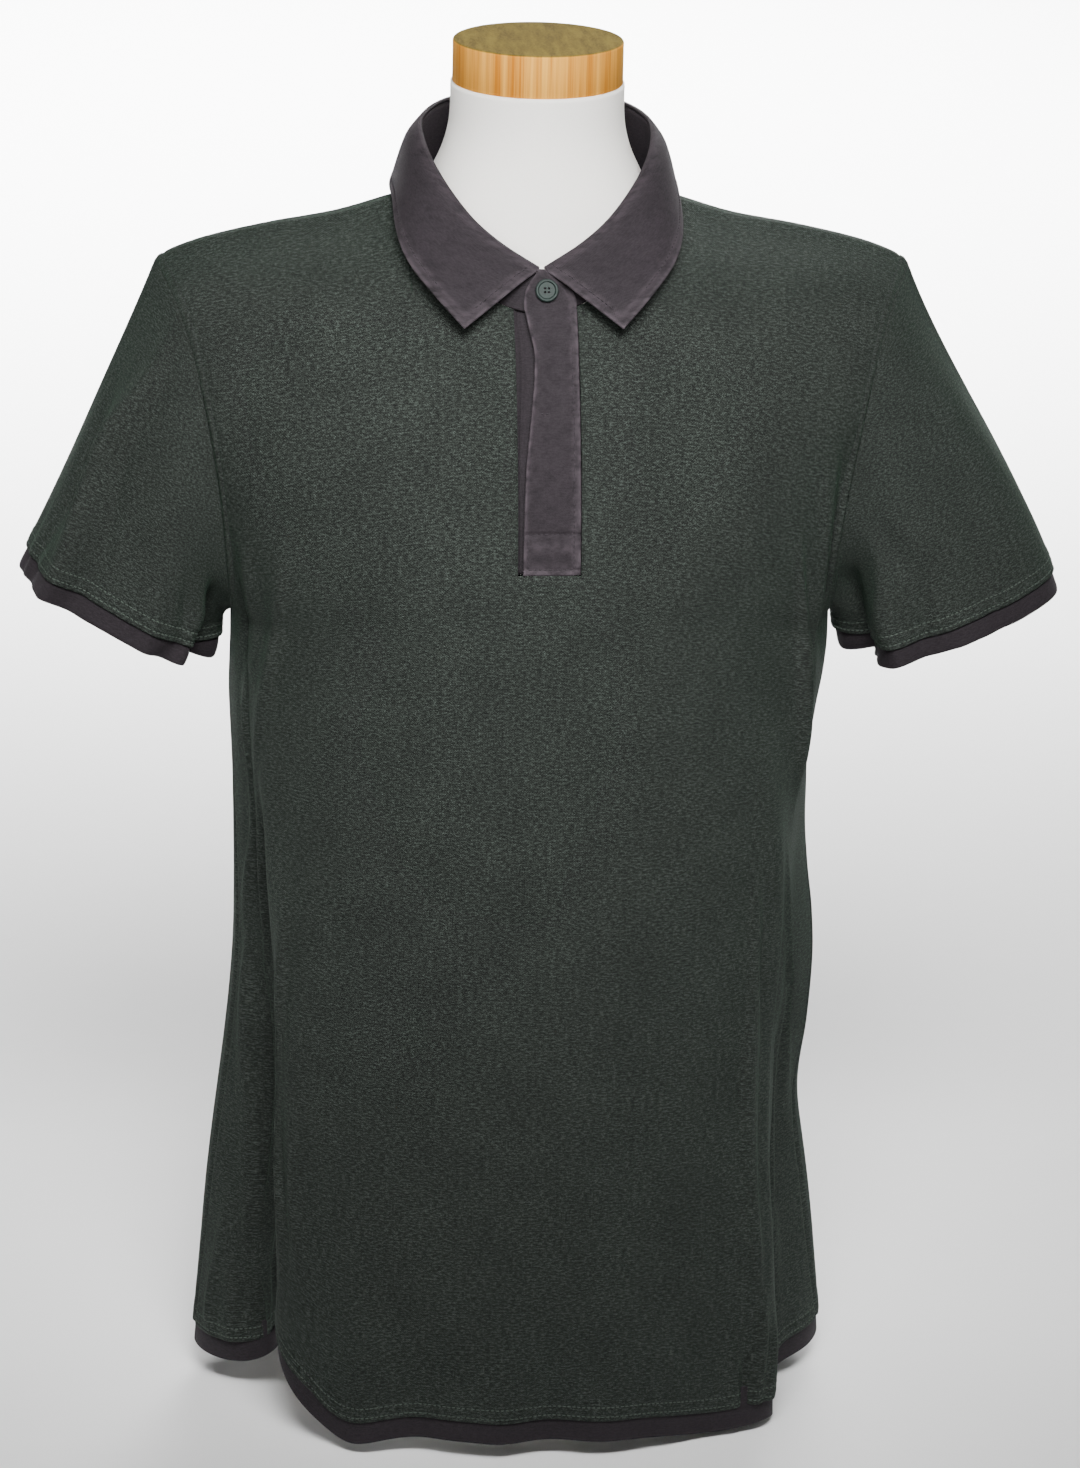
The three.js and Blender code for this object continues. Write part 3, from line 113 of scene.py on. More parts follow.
BACK_ROWS = [
    (0.0, 185, 24, 44, 118, 38, 90, 0.66, 0.62, 0),
    (0.15, 178, 16, 150, 116, 150, 90, 0.64, 0.6, 0),
    (0.355, 172, 10, 299, 112, 300, 90, 0.62, 0.58, 0),
    (0.52, 171.5, 8, 419, 109, 425, 90, 0.6, 0.56, 0),
    (0.615, 173, 6, 484, 109, 500, 90, 0.6, 0.56, 0),
    (0.674, 173, 5, 523, 110, 546, 88, 0.6, 0.56, 0),
    (0.705, 174, 30, 535, 111, 573, 74, 0.6, 0.5, 0),
    (0.745, 178, 50, 565, 112, 606, 56, 0.58, 0.42, 0),
    (0.795, 183, 60, 607, 110, 648, 42, 0.54, 0.36, 0),
    (0.845, 191, 60, 651, 103, 688, 32, 0.5, 0.34, 0),
    (0.895, 199, 50, 688, 90, 725, 22, 0.44, 0.33, 0),
    (0.945, 208, 30, 716, 66, 757, 12, 0.38, 0.33, 0),
    (1.0, 216.5, 5, 732, 5, 788, 0, 0.34, 0.33, 0),
]
UNDERARM_SECTION = 5
SHOULDER_LINE = [
    (0, 0), (0.342, 0.286), (0.52, 0.49), (0.7, 0.62), (0.86, 0.765), (0.95, 0.89), (1, 1)
]

# Long soft folds: place round from the centre front at the low and the high end, height over the
# rest shape, half width, and the height over which an end dies out.
FOLD_COLUMNS = "side lowZ highZ lowAround highAround depth width fade"
BODY_FOLDS = [
    (-1, 30, 530, 193, 203, -27, 33, 320),
    (-1, 30, 420, 144, 150, 7, 20, 200),
    (-1, 170, 530, 172, 176, 5, 13, 120),
    (-1, 30, 330, 262, 250, 9, 30, 200),
    (1, 30, 500, 212, 208, -22, 32, 310),
    (1, 30, 270, 158, 148, 8, 20, 120),
    (1, 250, 500, 184, 136, 5, 15, 110),
    (1, 30, 240, 280, 262, 12, 34, 130),
    (1, 190, 500, 238, 238, 7, 40, 110),
    (1, 400, 600, 182, 172, 6, 15, 70),
    (1, 330, 490, 236, 236, -7, 45, 70),
    (1, 200, 360, 236, 236, 4.5, 36, 60),
    (1, 30, 130, 238, 236, 5, 22, 90),
    (1, 465, 565, 236, 236, 4, 45, 45),
    (-1, 465, 565, 236, 236, -1.5, 45, 45),
    (-1, 30, 460, 372, 380, 8, 26, 220),
    (1, 30, 420, 366, 376, 9, 28, 220),
    (-1, 30, 400, 448, 430, -6, 24, 220),
    (1, 30, 480, 428, 440, -7, 24, 240),
]
# The small creases between them, which only the cloth's own surface has.
BODY_CREASES = [
    (-1, 60, 400, 150, 160, 5.9, 4.2, 90),
    (-1, 60, 380, 161, 171, -4.9, 5.5, 90),
    (-1, 330, 520, 224, 194, 5.2, 4.0, 70),
    (-1, 120, 350, 217, 225, 5.2, 4.0, 60),
    (-1, 300, 500, 213, 172, 4.2, 3.6, 60),
    (-1, 140, 320, 210, 213, -4.6, 3.6, 60),
    (-1, 90, 300, 186, 192, 4.6, 4.5, 60),
    (-1, 60, 130, 219, 231, 4.9, 4.0, 25),
    (-1, 50, 110, 204, 214, -4.9, 4.0, 25),
    (-1, 70, 160, 236, 227, 4.2, 4.0, 30),
    (-1, 60, 120, 186, 190, 4.6, 4.0, 25),
    (-1, 330, 560, 214, 196, -3.5, 6, 80),
    (-1, 36, 120, 128, 136, -3.1, 7, 50),
    (-1, 470, 600, 176, 150, 3.8, 7, 50),
    (-1, 130, 260, 138, 141, 3.1, 4.0, 50),
    (1, 130, 410, 142, 138, 4.9, 4.2, 70),
    (1, 120, 380, 152, 148, -3.8, 5.0, 80),
    (1, 190, 410, 236, 164, 5.2, 4.5, 60),
    (1, 420, 610, 185, 152, 5.2, 4.5, 50),
    (1, 420, 595, 195, 162, -4.6, 5.5, 50),
    (1, 60, 300, 178, 184, -4.6, 5.0, 60),
    (1, 90, 330, 190, 196, 4.6, 4.5, 60),
    (1, 40, 130, 148, 146, 5.2, 4.0, 40),
    (1, 45, 110, 138, 138, -4.2, 3.6, 30),
    (1, 40, 100, 189, 196, 4.9, 5.0, 30),
    (1, 50, 120, 158, 160, 4.2, 3.6, 35),
    (1, 40, 170, 214, 222, 4.2, 5, 60),
    (-1, 60, 300, 330, 322, 2.8, 9, 100),
    (1, 90, 380, 318, 330, 2.6, 9, 110),
    (-1, 200, 520, 406, 398, -2.4, 11, 120),
    (1, 160, 500, 402, 410, -2.6, 10, 130),
    (-1, 420, 620, 320, 372, 2.8, 9, 80),
    (1, 430, 620, 322, 370, 2.6, 10, 80),
    (-1, 40, 200, 478, 470, 2.2, 11, 90),
    (1, 40, 240, 486, 476, -2.2, 10, 90),
    (-1, 120, 470, 268, 276, 2.6, 5, 90),
    (1, 60, 430, 262, 272, -2.6, 5, 90),
    (-1, 60, 260, 292, 288, -2.4, 5, 70),
    (1, 100, 300, 288, 296, 2.4, 5, 70),
    (-1, 520, 600, 199, 192, -5, 6, 35),
    (-1, 500, 590, 188, 180, 3, 5, 40),
    (-1, 70, 470, 176, 184, -6, 11, 120),
    (1, 70, 440, 172, 170, -5, 9, 110),
    (1, 530, 655, 196, 181, -8, 7, 45),
    (1, 520, 640, 184, 170, 3.5, 5, 45),
]
WAVE_COLUMNS = "around depth width"
HEM_WAVES = [(-98, 6, 17), (-62, -4, 16), (-14, 3, 15), (16, -4, 16), (52, 3.5, 20), (112, -3, 18)]
WAVE_FADE = 90
HEM_LIFTS = [(-166, 36, 34), (-108, -6, 24), (128, -9, 42), (192, -20, 24), (238, -2, 24)]
LIFT_FADE = 220

CUFF_COLUMNS = "side x y z reach depth tilt"
CUFFS = [
    (-1, 238.5, 6.5, 520, 64, 57, 27.6),
    (1, 248.5, 6.5, 515, 66.1, 56, 19),
]
SLEEVE_COLUMNS = "share outward down pull"
SLEEVE_START = [
    (0.0, 0.98, 0.1, 66),
    (0.25, 0.88, 0.46, 90),
    (0.6, 0.62, 0.78, 150),
    (1.0, 0.36, 0.93, 184),
]
# Folds of the sleeves: place round the sleeve in degrees at the armhole and at the cuff (0 the
# outer edge, 90 the front, 180 the underside), height, half width in degrees, and where they
# begin.
SLEEVE_FOLD_COLUMNS = "side highTurn lowTurn depth width start"
SLEEVE_FOLDS = [
    (-1, 20, 38, 7, 22, 0.05),
    (-1, 62, 74, -6, 24, 0.1),
    (-1, 150, 160, -8, 26, 0.3),
    (-1, 182, 184, 5, 22, 0.12),
    (-1, 250, 240, -6, 30, 0.15),
    (1, 30, 20, 4, 20, 0.1),
    (1, 100, 128, 8, 24, 0.15),
    (1, 150, 168, -9, 22, 0.25),
    (1, 184, 186, 4, 20, 0.12),
    (1, 240, 250, -6, 30, 0.15),
]
SLEEVE_CREASES = [
    (-1, 28, 46, 7.0, 6, -0.05),
    (-1, 40, 61, -3.6, 7, 0.05),
    (-1, 14, 31, -6.0, 8, 0.1),
    (-1, 160, 157, -15, 15, -0.05),
    (-1, 138, 135, 4.5, 7, 0.1),
    (-1, 150, 149, 3.0, 4, 0.3),
    (-1, 96, 104, 2.0, 6, 0.35),
    (-1, 128, 120, -2.6, 6, 0.2),
    (-1, 140, 134, 2.2, 5, 0.3),
    (-1, 6, 16, -2.2, 5, 0.5),
    (-1, 205, 214, 2.6, 8, 0.3),
    (-1, 290, 280, 2.4, 9, 0.3),
    (-1, 236, 244, -2.2, 7, 0.2),
    (1, 60, 66, -1.8, 6, 0.3),
    (1, 84, 92, 1.8, 6, 0.4),
    (1, 116, 124, 4.5, 7, 0.0),
    (1, 150, 154, -15, 15, -0.15),
    (1, 146, 148, 5, 4.5, 0.05),
    (1, 98, 104, -2.4, 5, 0.05),
    (1, 200, 212, 2.6, 8, 0.3),
    (1, 286, 276, 2.4, 9, 0.3),
    (1, 238, 230, -2.2, 7, 0.2),
]

COLLAR_COLUMNS = "turn foldX foldY foldZ leafX leafY leafZ"
COLLAR_ROWS = [
    (0, 0, 60, 817, 0, 80, 770),
    (40, 43, 49, 816, 55, 70, 770),
    (75, 63.5, 17, 812, 80, 30, 772),
    (100, 64.5, -12, 804, 81.5, -14, 769),
    (125, 56, -39, 790, 80, -50, 758),
    (145, 40, -57, 771.5, 73.5, -74, 747.5),
    (162, 23, -69.5, 759, 60, -93, 734.5),
    (180, 0.6, -78, 746.5, 43.6, -105, 718.5),
]
COLLAR_LEAN = -1.6
LEAF_SPRING = 4.6
STAND_EASE = 0.9
LEAF_ROLL = [(-0.7, 0), (0.9, 0.1), (2.4, -0.9)]
LEAF_FALLS = [0.22, 0.42, 0.62, 0.81, 1]
LEAF_END = 179.3

# Wrinkles of the placket's tab: from one place in x and z to another, height and half width.
TAB_CREASES = [
    (-6, 720, 17, 728, 0.9, 1.7), (-4, 713, 15, 720, 0.7, 1.5), (4, 722, 14, 716, -0.5, 1.5)
]
TACK = (-0.2, 671)
BOX_LOW = 584.4
BOX_HIGH = 604.5
BOX_DENTS = [(BOX_HIGH, -1.0, 1.1), (BOX_LOW, -0.45, 0.9)]
PLACKET_COLUMNS = "z free sewn"
PLACKET_ROWS = [
    (581, -11.6, 22),
    (605, -11.5, 22),
    (640, -10.7, 22),
    (665, -8.6, 22),
    (690, -6.4, 22),
    (705, -6.6, 22),
    (716, -9.4, 21),
    (726, -11.4, 18.6),
    (734, -10.6, 15.5),
    (738, -8.8, 11),
    (741, -6.9, 6.2),
    (744.2, -4.4, 2.4),
    (746.5, -3.4, 0.4),
]

FORM_COLUMNS = "v ease"
FORM_ROWS = [
    (0, 35), (0.3, 31), (0.5, 23), (0.62, 14), (0.7, 7.5), (0.8, 4.4), (0.92, 2.6), (1, 1.5)
]
FORM_PLACKET_EASE = 2.6
FORM_LOW_V = 0.045
FORM_SIDE_SHARE = 0.965
NECK_COLUMNS = "z halfX halfY y"
NECK_ROWS = [
    (700, 68, 54, -2),
    (745, 71, 57, -3),
    (768, 68, 54.5, -3),
    (785, 60, 52, -2),
    (800, 53.2, 50, -1),
    (815, 49.8, 49.2, 0),
    (836, 49.3, 49, 0),
]
CAP_RADIUS = 48.4
CAP_LOW = 836.3
CAP_HIGH = 860.3
CAP_EDGE = 1.2
FOOT_EDGE = 4


# Working with whole arrays of points


def unit(vectors):
    return vectors / np.maximum(np.linalg.norm(vectors, axis=-1, keepdims=True), 1e-9)


def smooth(t):
    t = np.clip(t, 0, 1)
    return t * t * (3 - 2 * t)


def swell(distance, width):
    return np.exp(-((distance / width) ** 2))


def mix(a, b, t):
    return a + (b - a) * t


def as_rows(columns, table):
    """A table's rows as dictionaries."""
    return [dict(zip(columns.split(), row)) for row in table]


def cubic(start, leave, end, arrive, t):
    """From start (t 0) to end (t 1), setting off at one slope and coming in at another."""
    begun = start * (2 * t**3 - 3 * t**2 + 1) + leave * (t**3 - 2 * t**2 + t)
    return begun + end * (3 * t**2 - 2 * t**3) + arrive * (t**3 - t**2)


def pass_through(key, values, at):
    """A cubic through each value at its key, whose slope there is that of the line between the
    values beside it."""
    order = np.arange(len(key))
    before, after = np.maximum(order - 1, 0), np.minimum(order + 1, len(key) - 1)
    single = (1,) * (values.ndim - 1)
    slopes = (values[after] - values[before]) / (key[after] - key[before]).reshape(-1, *single)
    i = np.clip(np.searchsorted(key, at) - 1, 0, len(key) - 2)
    span = (key[i + 1] - key[i]).reshape(*at.shape, *single)
    t = np.clip((at - key[i]).reshape(*at.shape, *single) / span, 0, 1)
    return cubic(values[i], slopes[i] * span, values[i + 1], slopes[i + 1] * span, t)


def read_table(columns, table, at):
    """A table's columns at any place between its rows."""
    table = np.array(table, float)
    found = pass_through(table[:, 0], table[:, 1:], np.asarray(at, float))
    return dict(zip(columns.split()[1:], np.moveaxis(found, -1, 0)))


SECTION_STEPS = 48


def blend_weights(t):
    """The four weights of a cubic's points."""
    s = 1 - t
    return np.stack([s**3, 3 * s * s * t, 3 * s * t * t, t**3], -1)


def half_section(table, v):
    """The row of a panel's table at v, and half its section: a cubic from the centre line to the
    side, with its length up to each of its steps."""
    low = read_table(PANEL_COLUMNS, table[: UNDERARM_SECTION + 1], v)
    high = read_table(PANEL_COLUMNS, table[UNDERARM_SECTION:], v)
    row = {name: np.where(v < UNDERARM_V, low[name], high[name]) for name in low}
    angle = np.radians(row["turn"])
    depth = row["edgeY"] - row["midY"]
    pull = row["round"] * np.hypot(depth * np.sin(angle), row["edgeX"] * np.cos(angle))
    away = np.where(depth < 0, -1, 1)
    x = [0 * depth, row["flat"] * row["edgeX"], row["edgeX"] - pull * np.cos(angle), row["edgeX"]]
    y = [row["midY"], row["midY"], row["edgeY"] - away * pull * np.sin(angle), row["edgeY"]]
    corners = np.stack([np.stack(x, -1), np.stack(y, -1)], -1)
    line = np.einsum(
        "sk,...kd->...sd", blend_weights(np.linspace(0, 1, SECTION_STEPS + 1)), corners
    )
    steps = np.linalg.norm(np.diff(line, axis=-2), axis=-1)
    lengths = np.concatenate([np.zeros(steps.shape[:-1] + (1,)), np.cumsum(steps, -1)], -1)
    return row, corners, lengths


def along_section(u, row, length):
    """Distance round from the centre line: even near the middle, and at u 1 the whole length."""
    share = np.abs(u)
    side = np.where(u < 0, -1, 1)
    reach = FRONT_SCALE * share + (length - FRONT_SCALE) * share**3
    return side * reach + row["lean"] * (1 - share) ** 2


def surface(table, u, v):
    """A panel's rest surface for u (-1 the right side, 1 the left) and v. Its height falls from the
    centre line's to the edge's with the reach across."""
    u, v = np.broadcast_arrays(np.asarray(u, float), np.asarray(v, float))
    row, corners, lengths = half_section(table, v)
    along = along_section(u, row, lengths[..., -1])
    target = np.minimum(np.abs(along), lengths[..., -1])[..., None]
    i = np.clip((lengths <= target).sum(-1, keepdims=True) - 1, 0, SECTION_STEPS - 1)
    start = np.take_along_axis(lengths, i, -1)
    end = np.take_along_axis(lengths, i + 1, -1)
    t = ((i + (target - start) / (end - start)) / SECTION_STEPS)[..., 0]
    at = (blend_weights(t)[..., None] * corners).sum(-2)
    reach = at[..., 0] / row["edgeX"]
    flat_drop = reach ** mix(5, 2, smooth(v / 0.3))
    shoulder_drop = read_table("reach drop", SHOULDER_LINE, reach)["drop"]
    drop = mix(flat_drop, shoulder_drop, smooth((v - 0.86) / 0.14))
    return np.stack(
        [np.sign(along) * at[..., 0], at[..., 1], mix(row["midZ"], row["edgeZ"], drop)], -1
    )


def around(table, u, v):
    u, v = np.broadcast_arrays(np.asarray(u, float), np.asarray(v, float))
    row, _, lengths = half_section(table, v)
    return along_section(u, row, lengths[..., -1]), lengths[..., -1]


def halve(low, high, is_low, count=40):
    """Halves the way between low and high until it is the place where is_low stops holding."""
    for _ in range(count):
        middle = (low + high) / 2
        below = is_low(middle)
        low = np.where(below, middle, low)
        high = np.where(below, high, middle)
    return (low + high) / 2


def find_v(table, z, u=0.0):
    z, u = np.broadcast_arrays(np.asarray(z, float), np.asarray(u, float))
    return halve(0 * z, 0 * z + 1, lambda v: surface(table, u, v)[..., 2] < z)


HEM_Z = FRONT_ROWS[0][5]
HEM_V = float(find_v(FRONT_ROWS, HEM_Z + HEM_RISE))
BAND_V = float(find_v(FRONT_ROWS, HEM_Z + HEM_RISE + BAND_TUCK))
FOOT_V = float(find_v(FRONT_ROWS, PLACKET_ROWS[0][0]))
NECK_SHARE = float(halve(0.0, 1.0, lambda u: surface(FRONT_ROWS, u, 1.0)[..., 0] < NECK_HALF_WIDTH))


def neck_reach(points, depth):
    """How far inside the neckline's ellipse a place is, seen from above: 1 is on it."""
    ahead = smooth((RIDGE_Y - points[..., 1]) / depth)
    lean = COLLAR_LEAN * ahead if depth == NECK_FRONT else 0
    across, along = (points[..., 0] - lean) / NECK_HALF_WIDTH, (points[..., 1] - RIDGE_Y) / depth
    return across**2 + along**2


def neck_v(table, u, depth):
    """Where a panel's columns meet the neckline."""
    u = np.asarray(u, float)
    found = halve(0 * u + 0.7, 0 * u + 1, lambda v: neck_reach(surface(table, u, v), depth) >= 1)
    return np.where(np.abs(u) >= NECK_SHARE - 1e-9, 1, found)


def grid_normals(points, inside, wrap=False):
    """Across the neighbours on each side, turned away from what is inside."""
    if wrap:
        east = np.roll(points, -1, 1) - np.roll(points, 1, 1)
    else:
        east = np.diff(points[:, np.r_[0, 0 : points.shape[1], points.shape[1] - 1]], axis=1)
        east = east[:, 1:] + east[:, :-1]
    north = np.diff(points[np.r_[0, 0 : points.shape[0], points.shape[0] - 1]], axis=0)
    north = north[1:] + north[:-1]
    normals = unit(np.cross(east, north))
    back = (normals * (points - inside(points))).sum(-1, keepdims=True) < 0
    return np.where(back, -normals, normals)


def lengths_along(points, axis):
    """Distance along a grid's rows or columns from their first point."""
    steps = np.linalg.norm(np.diff(points, axis=axis), axis=-1)
    first = np.zeros_like(np.take(steps, [0], axis))
    return np.concatenate([first, np.cumsum(steps, axis)], axis)


# Making meshes

EDGE = 0.5


def make_piece(name, places, quads, cloth=None, material=None, slot=None, replaces=()):
    """A mesh of quads facing out. cloth gives each corner's place in the flat cloth, in metres."""
    corners = places[quads]
    across = np.cross(corners[:, 2] - corners[:, 0], corners[:, 3] - corners[:, 1])
    if (across * corners.mean(1)).sum() < 0:
        quads = quads[:, ::-1]
        cloth = None if cloth is None else cloth[:, ::-1]
    mesh = bpy.data.meshes.new(name)
    mesh.vertices.add(len(places))
    mesh.vertices.foreach_set("co", ((places - (0, 0, FLOOR)) * MM).astype(np.float32).ravel())
    mesh.loops.add(quads.size)
    mesh.loops.foreach_set("vertex_index", quads.astype(np.int32).ravel())
    mesh.polygons.add(len(quads))
    mesh.polygons.foreach_set("loop_start", np.arange(0, quads.size, 4, dtype=np.int32))
    mesh.polygons.foreach_set("use_smooth", np.ones(len(quads), bool))
    if cloth is not None:
        layer = mesh.uv_layers.new(name="cloth")
        layer.data.foreach_set("uv", cloth.astype(np.float32).ravel())
    mesh.update(calc_edges=True)
    mesh.validate()
    piece = bpy.data.objects.new(name, mesh)
    bpy.context.scene.collection.objects.link(piece)
    if material:
        mesh.materials.append(material)
    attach(piece, "root")
    if replaces:
        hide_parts(*replaces)
    return piece


def cloth_map(points, wrap=False):
    """Each point's place in the flat cloth: distance along its row and its column. A tube's
    columns are measured from its free edge."""
    if wrap:
        points = np.concatenate([points, points[:, :1]], 1)
    width = lengths_along(points, 1)
    width = width - width.mean(1, keepdims=True)
    height = lengths_along(points, 0)
    height = height - height[-1] * (1 if wrap else 0)
    return np.stack([width, height], -1) * MM


def wall(name, points, normals, thick, offset=0.0, keep=None, wrap=False, flat=None, **finish):
    """Two copies of a grid of points, half the thickness out and in along the normals, joined by
    a rim wherever a cell has no cell beside it."""
    rows, columns = points.shape[:2]
    half = np.broadcast_to(thick, (rows, columns))[..., None] / 2
    middle = np.broadcast_to(offset, (rows, columns))[..., None]
    places = np.concatenate(
        [points + normals * (middle + half), points + normals * (middle - half)]
    )
    wide = columns + 1 if wrap else columns
    grid = np.arange(rows * wide).reshape(rows, wide)
    a, b, c, d = grid[:-1, :-1], grid[:-1, 1:], grid[1:, 1:], grid[1:, :-1]
    there = np.ones(a.shape, bool) if keep is None else keep
    rim = np.pad(there, 1)
    if wrap:
        rim[:, 0], rim[:, -1] = rim[:, -2], rim[:, 1]
    inner = rows * wide
    sides = [
        (there, (a, b, c, d)),
        (there, (a + inner, d + inner, c + inner, b + inner)),
        (there & ~rim[:-2, 1:-1], (a, a + inner, b + inner, b)),
        (there & ~rim[2:, 1:-1], (d, c, c + inner, d + inner)),
        (there & ~rim[1:-1, :-2], (a, d, d + inner, a + inner)),
        (there & ~rim[1:-1, 2:], (b, b + inner, c + inner, c)),
    ]
    quads = np.concatenate(
        [np.stack([corner[which] for corner in loop], -1) for which, loop in sides]
    )
    vertex = np.arange(rows)[:, None] * columns + np.arange(wide) % columns
    vertex = np.concatenate([vertex.ravel(), vertex.ravel() + rows * columns])
    flat = cloth_map(points, wrap) if flat is None else flat
    flat = np.tile(flat.reshape(-1, 2), (2, 1))
    return make_piece(name, places.reshape(-1, 3), vertex[quads], flat[quads], **finish)


def declare_sheet(points, keep=None, wrap=False):
    """Works out the cut of a grid of cloth: its longest row and column, and its area. Nothing is
    kept.
    """
    if wrap:
        points = np.concatenate([points, points[:, :1]], 1)
    a, b, c, d = points[:-1, :-1], points[:-1, 1:], points[1:, 1:], points[1:, :-1]
    cells = np.linalg.norm(np.cross(c - a, d - b), axis=-1) / 2
    area = cells.sum() if keep is None else cells[keep].sum()
    width = lengths_along(points, 1).max()
    length = lengths_along(points, 0).max()
    area = min(area, width * length)


def add_wear(piece, wear):
    """How rubbed the cloth is at each point of its grid, the same on both faces."""
    layer = piece.data.attributes.new("wear", "FLOAT", "POINT")
    layer.data.foreach_set("value", np.tile(np.clip(wear, 0, 1).ravel(), 2).astype(np.float32))


def stand_back(points, edges):
    """Moves the edges of a grid back from their seam lines, along the cloth."""
    moved = points.copy()
    pairs = {
        "left": (np.s_[:, 0], np.s_[:, 1]),
        "right": (np.s_[:, -1], np.s_[:, -2]),
        "low": (np.s_[0], np.s_[1]),
        "high": (np.s_[-1], np.s_[-2]),
    }
    for edge in edges:
        here, near = pairs[edge]
        moved[here] += unit(points[near] - points[here]) * SEAM
    return moved


STITCH_LENGTHS = np.array([-0.5, -0.4, -0.15, 0.15, 0.4, 0.5])
STITCH_SIZES = np.array([0.25, 0.75, 1, 1, 0.75, 0.25])
STITCH_SIDES = 6


def stitches(name, lines, material, slot, long=2.1, gap=0.8, width=0.34, height=0.24):
    """Short rounded threads set end to end along each line of places and outward directions. A
    thread is a ring of six points carried along its length, thinner and sunk at both ends."""
    turn = np.arange(STITCH_SIDES) * 2 * np.pi / STITCH_SIDES
    places, quads = [], []
    count = 0
    size = len(STITCH_LENGTHS) * STITCH_SIDES
    ring = np.arange(size).reshape(len(STITCH_LENGTHS), STITCH_SIDES)
    beside = np.roll(ring, -1, 1)
    shell = np.stack([ring[:-1], beside[:-1], beside[1:], ring[1:]], -1).reshape(-1, 4)
    ends = np.array([[0, 3, 2, 1], [0, 5, 4, 3]])
    template = np.concatenate([shell, ends, ends[:, ::-1] + size - STITCH_SIDES])
    for path, out in lines:
        reach = np.concatenate([[0], np.cumsum(np.linalg.norm(np.diff(path, axis=0), axis=1))])
        number = max(int(reach[-1] // (long + gap)), 1)
        middle = (np.arange(number) + 0.5) * reach[-1] / number
        at = middle[:, None] + STITCH_LENGTHS * long
        centre = np.stack([np.interp(at, reach, path[:, k]) for k in range(3)], -1)
        up = unit(np.stack([np.interp(at, reach, out[:, k]) for k in range(3)], -1))
        along = unit(centre[:, -1] - centre[:, 0])[:, None]
        side = unit(np.cross(up, along))
        sink = (STITCH_SIZES - 1) * 0.3
        centre = centre + up * (sink[:, None] + height * 0.35)
        spread = STITCH_SIZES[:, None] * np.cos(turn) * width
        lift = STITCH_SIZES[:, None] * np.sin(turn) * height
        sideways = side[:, :, None] * spread[..., None]
        raised = up[:, :, None] * lift[..., None]
        places.append((centre[:, :, None] + sideways + raised).reshape(-1, 3))
        quads.append((template + (count + np.arange(number) * size)[:, None, None]).reshape(-1, 4))
        count += number * size
    return make_piece(name, np.concatenate(places), np.concatenate(quads), None, material, slot)


# Materials


def feed(tree, sockets, values):
    """Joins each socket to the output given for it, or sets it to the value."""
    for socket, value in zip(sockets, values):
        if isinstance(value, bpy.types.NodeSocket):
            tree.links.new(value, socket)
        else:
            socket.default_value = value


def set_inputs(tree, node, inputs):
    feed(tree, [node.inputs[name] for name in inputs], inputs.values())


def add_node(tree, kind, inputs=None, **settings):
    made = tree.nodes.new(kind)
    for name, value in settings.items():
        setattr(made, name, value)
    set_inputs(tree, made, inputs or {})
    return made


def work_out(tree, operation, *values):
    made = add_node(tree, "ShaderNodeMath", operation=operation)
    feed(tree, made.inputs, values)
    return made.outputs[0]


def weigh(tree, first, second, share):
    """The share of the first value and the rest of the second."""
    rest = work_out(tree, "MULTIPLY", second, 1 - share)
    return work_out(tree, "MULTIPLY_ADD", first, share, rest)


def mix_colours(tree, share, a, b, how="MIX"):
    made = add_node(tree, "ShaderNodeMix", data_type="RGBA", blend_type=how)
    feed(tree, [made.inputs[place] for place in (0, 6, 7)], (share, a, b))
    return made.outputs[2]


def ramp(tree, value, low, high):
    made = add_node(tree, "ShaderNodeMapRange", {"Value": value, "From Min": low, "From Max": high})
    return made.outputs["Result"]


def new_group(name, inputs, outputs):
    """An empty group with named sockets."""
    kinds = {"v": "NodeSocketVector", "c": "NodeSocketColor", "f": "NodeSocketFloat"}
    group = bpy.data.node_groups.new(name, "ShaderNodeTree")
    for names, way in ((inputs, "INPUT"), (outputs, "OUTPUT")):
        for kind, title in names:
            group.interface.new_socket(title, in_out=way, socket_type=kinds[kind])
    given = group.nodes.new("NodeGroupInput").outputs
    return group, given, group.nodes.new("NodeGroupOutput").inputs


def heather_group():
    """Yarn spun from dyed and pale fibres. Three noises, drawn out along the rows of loops, say how
    much of each colour shows: long streaks, single loops and slow clouds over the cloth."""
    group, given, gives = new_group(
        "heathered yarn",
        [("v", "Cloth"), ("c", "Deep"), ("c", "Plain"), ("c", "Pale"), ("f", "Flecks")],
        [("c", "Colour"), ("f", "Fibres"), ("f", "Crumples")],
    )

    def streaks(scale, stretch, detail):
        drawn = add_node(group, "ShaderNodeMapping", {"Vector": given["Cloth"], "Scale": stretch})
        noise = {"Vector": drawn.outputs[0], "Scale": scale, "Detail": detail, "Roughness": 0.6}
        return add_node(group, "ShaderNodeTexNoise", noise).outputs["Fac"]

    long_streaks = streaks(620, (0.55, 1.5, 1), 2.0)
    loops = streaks(1250, (0.85, 1.1, 1), 1.0)
    clouds = streaks(26, (1, 1, 1), 3.0)
    fibres = weigh(group, long_streaks, loops, 0.55)
    body = mix_colours(group, ramp(group, fibres, 0.36, 0.54), given["Deep"], given["Plain"])
    pale = work_out(group, "MULTIPLY", ramp(group, fibres, 0.5, 0.68), given["Flecks"])
    flecked = mix_colours(group, pale, body, given["Pale"])
    cloudy = mix_colours(
        group, ramp(group, clouds, 0.3, 0.7), (0.82, 0.82, 0.82, 1), (1.12, 1.12, 1.12, 1)
    )
    group.links.new(mix_colours(group, 1.0, flecked, cloudy, "MULTIPLY"), gives["Colour"])
    group.links.new(fibres, gives["Fibres"])
    group.links.new(streaks(150, (1, 1, 1), 2.0), gives["Crumples"])
    return group


